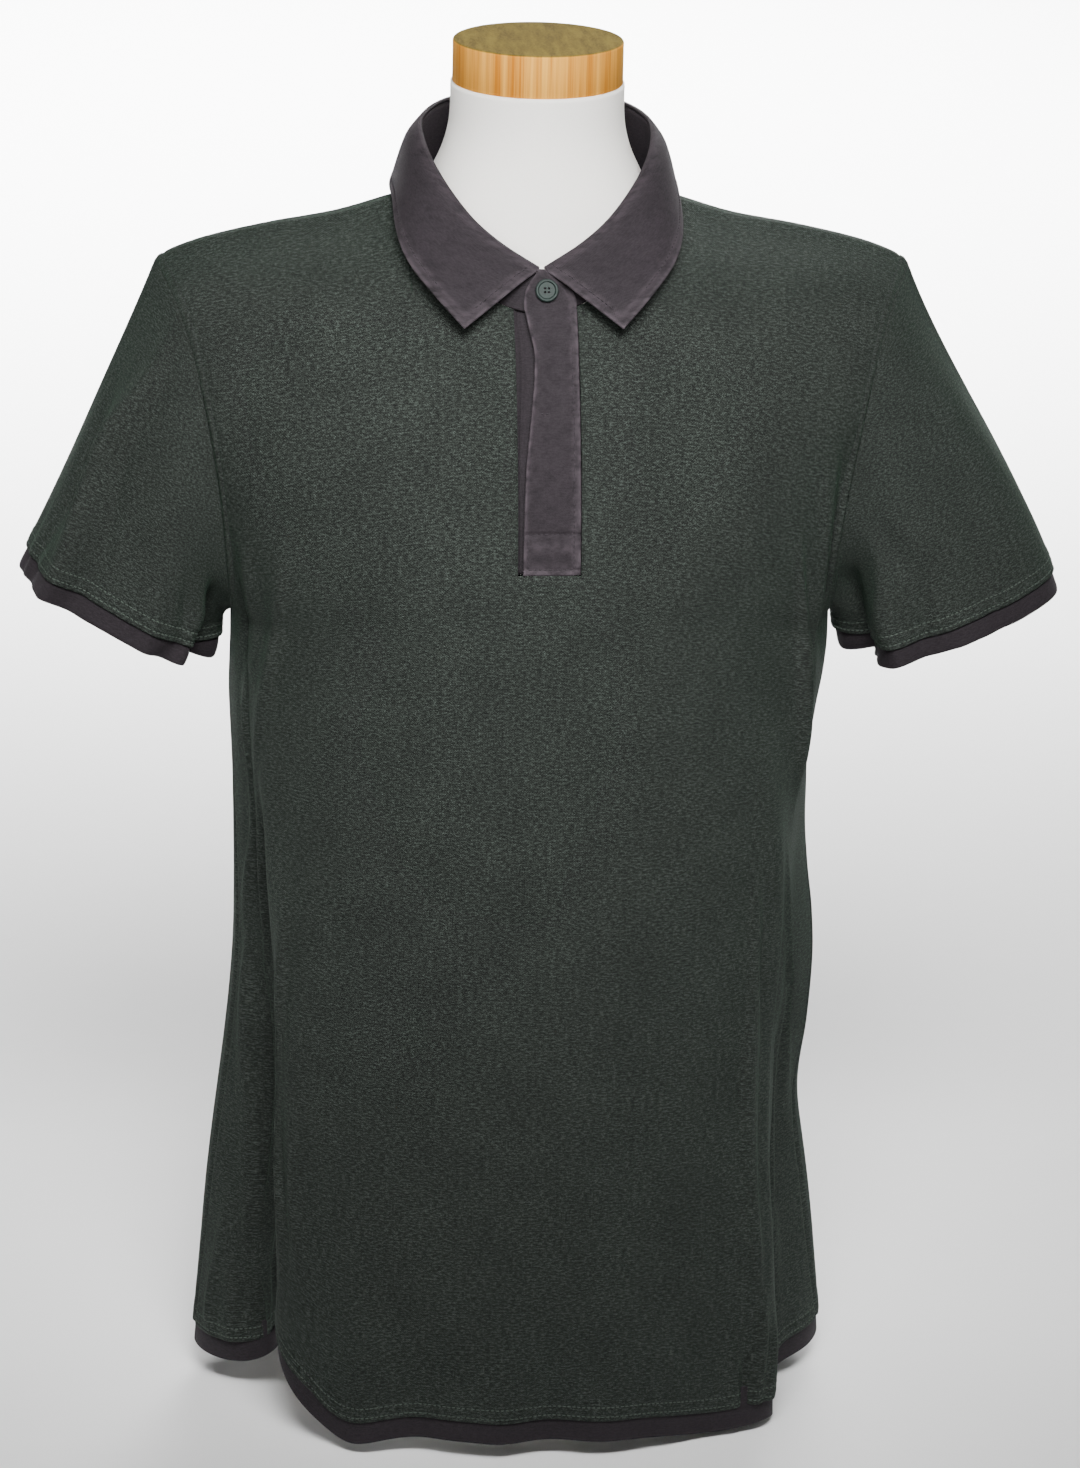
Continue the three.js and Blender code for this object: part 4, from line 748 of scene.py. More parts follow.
def lattice_group():
    """The relief of a cloth from crossing waves: sin(across) times sin(up), where each second
    course is set over by half a cell."""
    group, given, gives = new_group(
        "cloth relief",
        [("v", "Cloth"), ("f", "Across"), ("f", "Up"), ("f", "Shift")],
        [("f", "Height")],
    )

    def reckon(operation, *values):
        return work_out(group, operation, *values)

    split = add_node(group, "ShaderNodeSeparateXYZ", {0: given["Cloth"]}).outputs
    turns = 2 * math.pi
    up = reckon("MULTIPLY", reckon("DIVIDE", split["Y"], given["Up"]), turns)
    across = reckon("MULTIPLY", reckon("DIVIDE", split["X"], given["Across"]), turns)
    shift = reckon("MULTIPLY", reckon("SINE", up), given["Shift"])
    both = reckon("MULTIPLY", reckon("SINE", reckon("ADD", across, shift)), reckon("COSINE", up))
    group.links.new(reckon("MULTIPLY_ADD", both, 0.5, 0.5), gives["Height"])
    return group


def new_material(name):
    material = bpy.data.materials.new(name)
    material.use_nodes = True
    tree = material.node_tree
    tree.nodes.clear()
    shader = add_node(tree, "ShaderNodeBsdfPrincipled")
    out = add_node(tree, "ShaderNodeOutputMaterial")
    tree.links.new(shader.outputs[0], out.inputs["Surface"])
    return material, tree, shader


def rgb(code):
    """A colour from its web code, as linear light."""
    parts = [int(code[k : k + 2], 16) / 255 for k in (0, 2, 4)]
    linear = [p / 12.92 if p <= 0.04045 else ((p + 0.055) / 1.055) ** 2.4 for p in parts]
    return (*linear, 1)


HEATHER = heather_group()
RELIEF = lattice_group()


def cloth_material(
    name, deep, plain, pale, flecks, cell, sheen, roughness, depth, crumple, worn, shift=math.pi / 2
):
    """Heathered yarn in a relief of small cells and soft crumples, paler where "wear" says it is
    rubbed, with a soft sheen on what is seen edge on."""
    material, tree, shader = new_material(name)
    place = add_node(tree, "ShaderNodeUVMap", uv_map="cloth").outputs["UV"]
    yarn = add_node(tree, "ShaderNodeGroup", node_tree=HEATHER)
    relief = add_node(tree, "ShaderNodeGroup", node_tree=RELIEF)
    feed(tree, yarn.inputs, (place, deep, plain, pale, flecks))
    feed(tree, relief.inputs, (place, cell[0] * MM, cell[1] * MM, shift))
    height = work_out(tree, "MULTIPLY_ADD", yarn.outputs["Fibres"], 0.6, relief.outputs["Height"])
    height = work_out(tree, "MULTIPLY_ADD", yarn.outputs["Crumples"], crumple, height)
    bump = {"Height": height, "Distance": depth * MM, "Strength": 0.9}
    wear = add_node(tree, "ShaderNodeAttribute", attribute_name="wear").outputs["Fac"]
    patchy = work_out(tree, "MULTIPLY", ramp(tree, yarn.outputs["Crumples"], 0.3, 0.6), wear)
    rough = ramp(tree, yarn.outputs["Fibres"], 0.0, 1.0)
    inputs = {
        "Base Color": mix_colours(tree, patchy, yarn.outputs["Colour"], worn),
        "Normal": add_node(tree, "ShaderNodeBump", bump).outputs[0],
        "Roughness": work_out(tree, "MULTIPLY_ADD", rough, -0.12, roughness),
        "Sheen Weight": sheen[0],
        "Sheen Roughness": 0.45,
        "Sheen Tint": sheen[1],
        "Specular IOR Level": 0.25,
    }
    set_inputs(tree, shader, inputs)
    return material


PIQUE_CLOTH = cloth_material(
    "green heather pique",
    deep=rgb("0c0e0d"),
    plain=rgb("212521"),
    pale=rgb("3f4742"),
    flecks=0.85,
    cell=(1.5, 1.3),
    sheen=(0.1, rgb("44805a")),
    roughness=0.92,
    depth=0.3,
    crumple=2.2,
    worn=rgb("4a524b"),
)
WOVEN_CLOTH = cloth_material(
    "charcoal woven cotton",
    deep=rgb("161215"),
    plain=rgb("1f1a1e"),
    pale=rgb("2e292d"),
    flecks=0.3,
    cell=(0.9, 0.9),
    sheen=(0.08, rgb("8a8088")),
    roughness=0.88,
    depth=0.12,
    crumple=1.5,
    worn=rgb("3f383d"),
    shift=0.0,
)


def plain_material(name, colour, spread, roughness, scale, depth, sheen=0.0):
    """One colour that varies softly over the surface, with a fine grain."""
    material, tree, shader = new_material(name)
    place = add_node(tree, "ShaderNodeTexCoord").outputs["Object"]
    slow = add_node(tree, "ShaderNodeTexNoise", {"Vector": place, "Scale": 18, "Detail": 4})
    fine = add_node(tree, "ShaderNodeTexNoise", {"Vector": place, "Scale": scale, "Detail": 3})
    dark = tuple(c * (1 - spread) for c in colour[:3]) + (1,)
    light = tuple(min(c * (1 + spread), 1) for c in colour[:3]) + (1,)
    share = weigh(tree, fine.outputs["Fac"], slow.outputs["Fac"], 0.5)
    bump = {"Height": fine.outputs["Fac"], "Distance": depth * MM}
    inputs = {
        "Base Color": mix_colours(tree, ramp(tree, share, 0.35, 0.65), dark, light),
        "Normal": add_node(tree, "ShaderNodeBump", bump).outputs[0],
        "Roughness": work_out(tree, "MULTIPLY_ADD", share, 0.1, roughness),
        "Sheen Weight": sheen,
        "Specular IOR Level": 0.3,
    }
    set_inputs(tree, shader, inputs)
    return material


def bamboo_material():
    """Narrow strips set upright round the side, each with its own shade, and fine fibres along
    them. On the top the strips show as their cut ends, which are darker."""
    material, tree, shader = new_material("laminated bamboo")
    place = add_node(tree, "ShaderNodeTexCoord").outputs["Object"]

    def grain(stretch, detail):
        drawn = add_node(tree, "ShaderNodeMapping", {"Vector": place, "Scale": stretch})
        noise = {"Vector": drawn.outputs[0], "Scale": 1, "Detail": detail}
        return add_node(tree, "ShaderNodeTexNoise", noise).outputs["Fac"]

    strips = grain((210, 40, 2.0), 2)
    fibres = grain((900, 260, 14), 4)
    share = weigh(tree, fibres, strips, 0.4)
    side = mix_colours(tree, ramp(tree, share, 0.36, 0.62), rgb("b87018"), rgb("e8aa48"))
    top = mix_colours(tree, ramp(tree, share, 0.36, 0.62), rgb("5c4c14"), rgb("7c6a28"))
    facing = add_node(tree, "ShaderNodeNewGeometry").outputs["Normal"]
    up = add_node(tree, "ShaderNodeSeparateXYZ", {0: facing}).outputs["Z"]
    bump = {"Height": fibres, "Distance": 0.12 * MM}
    inputs = {
        "Base Color": mix_colours(tree, ramp(tree, up, 0.5, 0.9), side, top),
        "Normal": add_node(tree, "ShaderNodeBump", bump).outputs[0],
        "Roughness": work_out(tree, "MULTIPLY_ADD", share, 0.2, 0.75),
        "Specular IOR Level": 0.06,
    }
    set_inputs(tree, shader, inputs)
    return material


GREEN_THREAD = plain_material("green thread", rgb("3c453e"), 0.2, 0.7, 900, 0.05)
DARK_THREAD = plain_material("dark green thread", rgb("1c211e"), 0.2, 0.7, 900, 0.05)
PURPLE_THREAD = plain_material("purple thread", rgb("262125"), 0.2, 0.7, 900, 0.05)
BUTTON_RESIN = plain_material("green button resin", rgb("111f1b"), 0.25, 0.55, 160, 0.02)
FORM_COVER = plain_material("cream form cover", rgb("fbf8f2"), 0.02, 0.75, 700, 0.08, 0.1)
BAMBOO = bamboo_material()

# The shirt's panels

SIDE_STEPS = 100
NECK_STEPS = 28
SLIT_STEPS = 12


def panel_columns():
    """Evenly round the neckline to the high point of the shoulder, then evenly to the side."""

    def outer(slit):
        turns = np.linspace(math.asin(abs(slit) / NECK_SHARE), math.pi / 2, NECK_STEPS)
        t = np.linspace(1, 0, SIDE_STEPS)[1:]
        side = 1 - (1 - NECK_SHARE) * t**1.22
        return np.concatenate([NECK_SHARE * np.sin(turns), side])

    slit = np.linspace(SLIT_LEFT, SLIT_RIGHT, SLIT_STEPS)[1:-1]
    return np.concatenate([-outer(SLIT_LEFT)[::-1], slit, outer(SLIT_RIGHT)])


PANEL_U = panel_columns()
PANEL_LENGTH = 706
EDGE_V = EDGE / PANEL_LENGTH
PANEL_V = np.concatenate(
    [
        [HEM_V, HEM_V + EDGE_V],
        HEM_V + EDGE_V * np.array([3, 6, 9, 12, 15, 18, 21, 24]),
        np.linspace(HEM_V + 28 * EDGE_V, UNDERARM_V, 84),
        np.linspace(UNDERARM_V, FOOT_V, 9)[1:],
        np.linspace(FOOT_V, 1, 58)[1:],
    ]
)
UNDERARM_ROW = int(np.searchsorted(PANEL_V, UNDERARM_V - 1e-6))
FOOT_ROW = int(np.searchsorted(PANEL_V, FOOT_V - 1e-6))
IS_NECK = np.abs(PANEL_U) <= NECK_SHARE + 1e-9


def fade_ends(fold, z):
    up = smooth((fold["highZ"] - z) / fold["fade"])
    down = 1 if fold["lowZ"] < 50 else smooth((z - fold["lowZ"]) / fold["fade"])
    return up * down


def body_fold(place, z):
    """How far the folds push the cloth out: each is a bell across its own line, dying out at its
    ends."""
    push = np.zeros_like(z)
    for fold in as_rows(FOLD_COLUMNS, BODY_FOLDS):
        rise = np.clip((z - fold["lowZ"]) / (fold["highZ"] - fold["lowZ"]), 0, 1)
        centre = mix(fold["lowAround"], fold["highAround"], rise)
        bell = swell(np.abs(place) - centre, fold["width"])
        here = np.sign(place) == fold["side"]
        push += np.where(here, fold["depth"] * fade_ends(fold, z) * bell, 0)
    low = smooth((HEM_Z + WAVE_FADE - z) / WAVE_FADE)
    for wave in as_rows(WAVE_COLUMNS, HEM_WAVES):
        push += wave["depth"] * low * swell(place - wave["around"], wave["width"])
    return push


def hem_lift(place, z):
    """How far the hem hangs over or under its section: bells round it, dying out up the body."""
    low = smooth((HEM_Z + LIFT_FADE - z) / LIFT_FADE)
    return low * sum(rise * swell(place - centre, width) for centre, rise, width in HEM_LIFTS)


def body_crease(place, z):
    """The small creases: a bell that is steeper on one side, wanders, and swells and thins."""
    push = np.zeros_like(z)
    for number, fold in enumerate(as_rows(FOLD_COLUMNS, BODY_CREASES)):
        rise = np.clip((z - fold["lowZ"]) / (fold["highZ"] - fold["lowZ"]), 0, 1)
        wander = 2.4 * np.sin(z / 31 + 1.9 * number)
        away = np.abs(place) - mix(fold["lowAround"], fold["highAround"], rise) - wander
        width = fold["width"] * (1 + 0.3 * np.sin(z / 47 + number)) * np.where(away > 0, 1.35, 0.8)
        bell = (0.75 + 0.25 * np.sin(z / 23 + 2.7 * number)) * swell(away, width)
        high_end = smooth((fold["highZ"] - z) / fold["fade"])
        low_end = smooth((z - fold["lowZ"] + 20) / fold["fade"])
        here = np.sign(place) == fold["side"]
        push += np.where(here, fold["depth"] * high_end * low_end * bell, 0)
    return push


HEM_STITCHES = (3.0, 9.2)
ARMHOLE_STITCH = 5.0
# How the cloth rises and dips beside a seam or a row of stitches: distance from it, height, half
# width.
SIDE_SEAM = [(0, -1.1, 1.8), (2.8, 0.35, 1.5)]
ARMHOLE_DENT = [(ARMHOLE_STITCH, -0.5, 1.0)]
SHOULDER_SEAM = [(0, -0.9, 1.8), (4.2, 0.3, 2.2)]
SLIT_SEAM = [(1.5, 0.55, 1.1), (3.6, -0.45, 1.0)]
HEM_DENTS = [(line, -0.55, 1.0) for line in HEM_STITCHES]
FREE_EDGE = [(0, 1.1, 3.0), (2.6, -0.3, 0.8)]
SEWN_EDGE = [(3.6, -0.4, 0.9)]
SHOULDER_SCALE = 800
PUCKER_PITCH = 1.9


def read_relief(distance, rows):
    return sum(height * swell(distance - place, width) for place, height, width in rows)


def hem_relief(rise):
    """The double hem: a soft swell with a dent along each line of stitches."""
    swollen = 0.35 * smooth((13 - rise) / 2) * smooth(rise / 1.5)
    return swollen + read_relief(rise, HEM_DENTS)


def body_inside(points):
    low = np.minimum(points[..., 2], 690)
    return np.stack([points[..., 0] * 0.6, 0 * low + RIDGE_Y, low], -1)


def share_normals(a, b, where_a, where_b):
    mean = unit(a[where_a] + b[where_b])
    a[where_a] = mean
    b[where_b] = mean


def share_body_seams(front, back, rows):
    """The side seams up to the underarm, and the shoulder seams along the last row."""
    joined = rows <= UNDERARM_V + 1e-9
    for column in (0, -1):
        share_normals(front, back, (joined, column), (joined, column))
    if rows[-1] >= 1:
        shoulder = np.abs(PANEL_U) >= NECK_SHARE - 1e-9
        share_normals(front, back, (-1, shoulder), (-1, shoulder))


SLIT_HEIGHTS = np.linspace(540, 790, 90)


def slit_line(u):
    return surface(FRONT_ROWS, u, find_v(FRONT_ROWS, SLIT_HEIGHTS, u))[..., 0]


SLIT_LINES = {u: slit_line(u) for u in (SLIT_LEFT, SLIT_RIGHT)}


def slit_edge(u, z):
    """How far across the slit's edge is at a height."""
    return np.interp(z, SLIT_HEIGHTS, SLIT_LINES[u])


def make_body(rows, detail=1.0):
    """The front and the back: rest points, pushed out along their normals by the folds."""
    rest, pushes, flat = [], [], []
    for number, (table, depth) in enumerate(((FRONT_ROWS, NECK_FRONT), (BACK_ROWS, NECK_BACK))):
        tops = neck_v(table, PANEL_U, depth)
        v = rows[:, None] + 0 * PANEL_U
        fitted = np.where(v <= FOOT_V, v, FOOT_V + (v - FOOT_V) * (tops - FOOT_V) / (1 - FOOT_V))
        points = surface(table, PANEL_U + 0 * fitted, fitted)
        place, length = around(table, PANEL_U + 0 * fitted, fitted)
        if number == 1:
            front_length = around(FRONT_ROWS, PANEL_U + 0 * fitted, fitted)[1]
            place = np.where(PANEL_U < 0, -1, 1) * (front_length + length - np.abs(place))
            to_edge = np.abs(place) - front_length
        else:
            to_edge = length - np.abs(place)
        z = points[..., 2]
        push = body_fold(np.where(place == 0, 1e-6, place), z)
        crease = body_crease(place, z)
        on_armhole = smooth((v - UNDERARM_V) / 0.02)
        seam = read_relief(to_edge, SIDE_SEAM) + on_armhole * read_relief(to_edge, ARMHOLE_DENT)
        top = np.where(v > 0.9, (1 - v) * SHOULDER_SCALE, 99)
        seam += np.where(IS_NECK, 0, read_relief(top, SHOULDER_SEAM))
        crease *= smooth(to_edge / 4)
        if number == 0:
            x = points[..., 0]
            beyond = np.maximum(x - slit_edge(SLIT_RIGHT, z), slit_edge(SLIT_LEFT, z) - x)
            from_slit = np.hypot(np.maximum(beyond, 0), np.maximum(PLACKET_ROWS[0][0] - z, 0))
            seam += read_relief(from_slit, SLIT_SEAM)
        rise = lengths_along(points, 0) if rows[0] > 0 else None
        hem = hem_relief(rise) if rise is not None else 0
        rest.append(points)
        pushes.append(push + detail * (crease + seam + hem))
        flat.append(np.stack([place, fitted * PANEL_LENGTH], -1))
    normals = [grid_normals(points, body_inside) for points in rest]
    share_body_seams(*normals, rows)
    folded = [points + out * push[..., None] for points, out, push in zip(rest, normals, pushes)]
    for points, cut, before in zip(folded, flat, rest):
        points[..., 2] += hem_lift(cut[..., 0], before[..., 2])
    normals = [grid_normals(points, body_inside) for points in folded]
    share_body_seams(*normals, rows)
    return folded, normals, [cut * MM for cut in flat]


body, body_normals, body_cuts = make_body(PANEL_V)

# The sleeves

SLEEVE_ROWS = 74


def armhole_loop(side):
    """The armhole's points: up the front from the underarm, over the tip, down the back."""
    column = 0 if side < 0 else len(PANEL_U) - 1
    up = np.arange(UNDERARM_ROW, len(PANEL_V))
    down = up[::-1][1:-1]
    panel = np.r_[0 * up, 0 * down + 1]
    row = np.r_[up, down]
    points = np.stack(body)[panel, row, column]
    half = len(up) - 1
    reach = np.r_[0, np.cumsum(np.linalg.norm(np.diff(points, axis=0), axis=1))]
    closing = np.linalg.norm(points[0] - points[-1])
    front = reach[half]
    back = reach[-1] + closing - front
    on_front = np.arange(len(points)) <= half
    share = np.where(on_front, reach / front, 1 - (reach - front) / back)
    turn = np.where(on_front, 180 * (1 - share), 180 + 180 * share)
    return {
        "panel": panel, "row": row, "column": column, "points": points, "share": share, "turn": turn
    }


def cuff_points(turn, cuff):
    """An ellipse across the sleeve's own axis."""
    angle, tilt = np.radians(turn), math.radians(cuff["tilt"])
    across = cuff["reach"] * np.cos(angle)
    x = cuff["side"] * (cuff["x"] + across * math.cos(tilt))
    return np.stack(
        [x, cuff["y"] - cuff["depth"] * np.sin(angle), cuff["z"] + across * math.sin(tilt)], -1
    )


def sleeve_push(table, turn, t, side, sway=0.0):
    push = np.zeros(t.shape)
    for number, fold in enumerate(as_rows(SLEEVE_FOLD_COLUMNS, table)):
        if fold["side"] == side:
            centre = mix(fold["highTurn"], fold["lowTurn"], t) + sway * np.sin(t * 9 + number)
            away = (turn - centre + 540) % 360 - 180
            push += fold["depth"] * smooth((t - fold["start"]) / 0.5) * swell(away, fold["width"])
    return push


def make_sleeve(side):
    """A cubic from each armhole point to the cuff, leaving along the shoulder's slope and arriving
    along the sleeve's axis, pushed out by the sleeve's folds."""
    cuff = next(row for row in as_rows(CUFF_COLUMNS, CUFFS) if row["side"] == side)
    loop = armhole_loop(side)
    start = read_table(SLEEVE_COLUMNS, SLEEVE_START, loop["share"])
    tilt = math.radians(cuff["tilt"])
    begin, end = loop["points"], cuff_points(loop["turn"], cuff)
    length = np.linalg.norm(end - begin, axis=1)
    leave = unit(np.stack([side * start["outward"], 0 * length, -start["down"]], -1))
    leave = leave * np.minimum(start["pull"], length * 1.1)[:, None]
    arrive = np.array([side * math.sin(tilt), 0, -math.cos(tilt)]) * length[:, None]
    knit = 1 - CUFF_RISE / length
    t = knit * np.linspace(0, 1, SLEEVE_ROWS)[:, None]
    near = knit - EDGE / length
    tuck = 1 - (CUFF_RISE + BAND_TUCK) / length
    band = mix(tuck, 1, np.linspace(0, 1, 20)[:, None])
    t = np.concatenate([t[:-1], near[None], t[-1:], band])
    rest = cubic(begin, leave, end, arrive, t[..., None])
    axis_start = np.array([side * 195, RIDGE_Y, 640])
    axis_end = np.array([side * cuff["x"], cuff["y"], cuff["z"]]) * 2 - axis_start

    def inside(points):
        line = axis_end - axis_start
        share = np.clip((points - axis_start) @ line / (line @ line), 0, 1)
        return axis_start + share[..., None] * line

    def split(values):
        return values[: SLEEVE_ROWS + 1], values[SLEEVE_ROWS + 1 :]

    push = sleeve_push(SLEEVE_FOLDS, loop["turn"], t, side)
    crease = sleeve_push(SLEEVE_CREASES, loop["turn"], t, side, 4.0)
    from_armhole = t * length
    detail = crease - 0.9 * swell(from_armhole, 1.8) * (from_armhole > 0)
    detail[: SLEEVE_ROWS + 1] += hem_relief((knit - t[: SLEEVE_ROWS + 1]) * length)
    parts = []
    for rest_part, push_part in zip(split(rest), split(push + detail * smooth(from_armhole / 3))):
        points = rest_part + grid_normals(rest_part, inside, True) * push_part[..., None]
        parts.append((points, grid_normals(points, inside, True)))
    return loop, parts


sleeves = {side: make_sleeve(side) for side in (-1, 1)}
for loop, ((_, out), _) in sleeves.values():
    stacked = np.stack(body_normals)
    here = (loop["panel"], loop["row"], loop["column"])
    mean = unit(stacked[here] + out[0])
    out[0] = mean
    for number in (0, 1):
        mine = loop["panel"] == number
        body_normals[number][loop["row"][mine], loop["column"]] = mean[mine]
    for corner in (UNDERARM_ROW, len(PANEL_V) - 1):
        body_normals[1][corner, loop["column"]] = body_normals[0][corner, loop["column"]]

# The collar


def collar_point(edge, turn):
    """A point of the collar's fold or leaf edge at a signed turn from the centre back."""
    row = read_table(COLLAR_COLUMNS, COLLAR_ROWS, np.minimum(np.abs(turn), 180))
    side = np.where(turn < 0, -1, 1)
    lean = COLLAR_LEAN * smooth((np.abs(turn) - 90) / 90)
    return np.stack([side * row[edge + "X"] + lean, row[edge + "Y"], row[edge + "Z"]], -1)


def turn_of(points):
    ahead = smooth((RIDGE_Y - points[..., 1]) / NECK_FRONT)
    lean = np.where(points[..., 1] < RIDGE_Y, COLLAR_LEAN * ahead, 0)
    deep = (points[..., 1] - RIDGE_Y) * (NECK_HALF_WIDTH / NECK_FRONT)
    return np.degrees(np.arctan2(points[..., 0] - lean, deep))


def collar_inside(points):
    return points * (0.2, 0, 1) + (0, -5, 0)


def make_stand():
    """Straight lines from the neckline up to just under the fold."""
    neck = np.flatnonzero(IS_NECK)
    panel = np.r_[0 * neck, 0 * neck[1:-1] + 1]
    column = np.r_[neck, neck[1:-1]]
    points = np.stack(body)[panel, -1, column]
    turn = turn_of(points)
    order = np.argsort(turn)
    panel, column, points, turn = panel[order], column[order], points[order], turn[order]
    fold = collar_point("fold", turn)
    fold[:, 2] -= WOVEN / 2 + STAND_EASE
    rise = np.linspace(0, 1, 22)[:, None, None]
    grid = points + (fold - points) * rise
    return panel, column, grid, grid_normals(grid, collar_inside)


stand_panel, stand_column, stand, stand_normals = make_stand()
for k, (number, column) in enumerate(zip(stand_panel, stand_column)):
    mean = unit(body_normals[number][-1, column] + stand_normals[0, k])
    stand_normals[0, k] = mean
    body_normals[number][-1, column] = mean
    if abs(PANEL_U[column]) >= NECK_SHARE - 1e-9:
        body_normals[1][-1, column] = mean


LEAF_STEPS = 200
LEAF_ROWS = 46


def make_leaf():
    """From inside the fold over its roll, then down to the outer edge, bulging out between them."""
    inner = np.linspace(-LEAF_END, LEAF_END, LEAF_STEPS - 4)
    turns = np.sort(np.r_[inner, -LEAF_END + 0.5, -LEAF_END + 1.2, LEAF_END - 0.5, LEAF_END - 1.2])
    fold, edge = collar_point("fold", turns), collar_point("leaf", turns)
    outward = (edge - fold) * (1, 1, 0)
    outward[:, 0] *= 1 - 0.8 * smooth((np.abs(turns) - 150) / 30)
    outward = unit(outward)
    rows = [fold + outward * out + (0, 0, up) for out, up in LEAF_ROLL]
    flatter = 1 - 0.4 * (np.abs(turns) / 180) ** 4
    for fall in LEAF_FALLS:
        bulge = LEAF_SPRING * math.sin(math.pi * math.sqrt(fall)) * flatter
        rows.append(fold + (edge - fold) * fall + outward * bulge[:, None])
    points = pass_through(
        np.arange(float(len(rows))), np.stack(rows), np.linspace(0, len(rows) - 1, LEAF_ROWS)
    )
    last = points[-1] - unit(points[-1] - points[-2]) * EDGE
    points = np.concatenate([points[:-1], last[None], points[-1:]])
    normals = grid_normals(points, collar_inside)
    roll = np.arange(len(points)) < 8
    flip = roll[:, None] & (normals[..., 2] < 0)
    normals[flip] *= -1
    return points, normals


leaf, leaf_normals = make_leaf()
EDGE_STITCH = 5.4


def make_leaf_relief():
    """A dent along the stitches, at one distance from the outer edge and from both ends, and how
    rubbed the cloth is: most on the edges and the fold, a little beside the stitches."""
    down = lengths_along(leaf, 0)
    across = lengths_along(leaf, 1)
    from_edge = down[-1] - down
    from_end = np.minimum(across, across[:, -1:] - across)
    near = np.minimum(from_edge, np.where(down > 4, from_end, 99))
    relief = 0.25 * smooth(near / 1.5) * smooth((EDGE_STITCH - near) / 1.5)
    relief -= 0.28 * swell(near - EDGE_STITCH, 0.9)
    wear = swell(near, 2.2) + 0.45 * swell(near - EDGE_STITCH, 1.6)
    wear += 0.4 * swell(down - 3, 3.5) + 0.12
    return relief, wear


leaf_relief, leaf_wear = make_leaf_relief()

# The placket


def neck_point(x):
    u = np.asarray(x, float) / FRONT_SCALE
    for _ in range(5):
        at = surface(FRONT_ROWS, u, neck_v(FRONT_ROWS, u, NECK_FRONT))
        u = u + (x - at[..., 0]) / FRONT_SCALE
    return surface(FRONT_ROWS, u, neck_v(FRONT_ROWS, u, NECK_FRONT))


def placket_point(x, z):
    """A place by x and z on the front's middle surface, or on the stand over the neckline."""
    x, z = np.broadcast_arrays(np.asarray(x, float), np.asarray(z, float))
    neck = neck_point(x)
    fold = collar_point("fold", turn_of(neck))
    height = (z - neck[..., 2]) / (fold[..., 2] - neck[..., 2])
    upper = np.stack([x, mix(neck[..., 1], fold[..., 1], height), z], -1)
    u = x / FRONT_SCALE
    v = find_v(FRONT_ROWS, z, u)
    for _ in range(4):
        u = u + (x - surface(FRONT_ROWS, u, v)[..., 0]) / FRONT_SCALE
        v = find_v(FRONT_ROWS, z, u)
    return np.where((z > neck[..., 2])[..., None], upper, surface(FRONT_ROWS, u, v))


def front_inside(points):
    return points * (1, 0, 1) + (0, 0, -20)


def over_offset(z):
    return (WOVEN + LAYER) * smooth((z - 694) / 22)


PLACKET_TOP = PLACKET_ROWS[-1][0]
OVER_STEPS = 44


def make_over_band():
    low = PLACKET_ROWS[0][0]
    heights = np.r_[low, low + 0.5, np.linspace(low + 1.5, PLACKET_TOP - 0.6, 170), PLACKET_TOP]
    row = read_table(PLACKET_COLUMNS, PLACKET_ROWS, heights)
    sewn = np.minimum(row["sewn"], slit_edge(SLIT_RIGHT, heights) - SEAM - 0.3)
    share = np.r_[0, 0.017, np.linspace(0.05, 0.95, OVER_STEPS - 4), 0.983, 1]
    x = mix(row["free"][:, None], sewn[:, None], share)
    points = placket_point(x, heights[:, None] + 0 * x)
    return heights, points, grid_normals(points, front_inside)


def make_under_band():
    rise = np.linspace(0, 1, 60)
    middle = mix(PLACKET_ROWS[0][0], neck_point(np.zeros(1))[0, 2], rise)
    free = read_table(PLACKET_COLUMNS, PLACKET_ROWS, middle)["free"]
    seam = slit_edge(SLIT_LEFT, middle) + SEAM * 2
    lap = np.maximum(free - 3.2, seam + 1.2)
    far = slit_edge(SLIT_RIGHT, middle) + 2.6
    dent = [mix(seam, lap, share) for share in (0.36, 0.5, 0.64)]
    x = np.stack([seam - 3, seam, *dent, lap, lap + 4, lap + 11, far], -1)
    z = mix(PLACKET_ROWS[0][0], neck_point(x)[..., 2] + 1.6, rise[:, None])
    points = placket_point(x, z)
    return points, grid_normals(points, front_inside)


over_heights, over, over_normals = make_over_band()


def make_over_relief():
    """Dents along the stitches, puckers beside the sewn edge and the tab's wrinkles, and how rubbed
    the band is: most on its edges, a little in the box of stitches."""
    x, z = over[..., 0], over_heights[:, None] + 0 * over[..., 0]
    from_free, from_sewn = x - x[:, :1], x[:, -1:] - x
    relief = read_relief(from_free, FREE_EDGE) + read_relief(from_sewn, SEWN_EDGE)
    puckers = np.sin(z / PUCKER_PITCH + 1.5 * np.sin(z / 17))
    relief += 0.22 * smooth((3.4 - from_sewn) / 1.2) * puckers + read_relief(z, BOX_DENTS)
    for x0, z0, x1, z1, height, width in TAB_CREASES:
        wide, high = x1 - x0, z1 - z0
        along = np.clip(((x - x0) * wide + (z - z0) * high) / (wide**2 + high**2), 0, 1)
        away = np.hypot(x - mix(x0, x1, along), z - mix(z0, z1, along))
        relief += height * np.sin(np.pi * np.clip(along, 0.06, 0.94)) * swell(away, width)
    relief -= 0.5 * swell(np.hypot(x - TACK[0], z - TACK[1]), 2.2)
    wear = swell(np.minimum(from_free, from_sewn), 1.8) + 0.4 * swell(from_sewn - 3.6, 1.6) + 0.14
    wear += 0.8 * swell(z - over_heights[0], 2)
    wear += 0.4 * smooth((BOX_HIGH - z) / 3) * (0.5 + 0.5 * np.sin(z / 2.1))
    return relief, wear


over_relief, over_wear = make_over_relief()
under, under_normals = make_under_band()

# The form


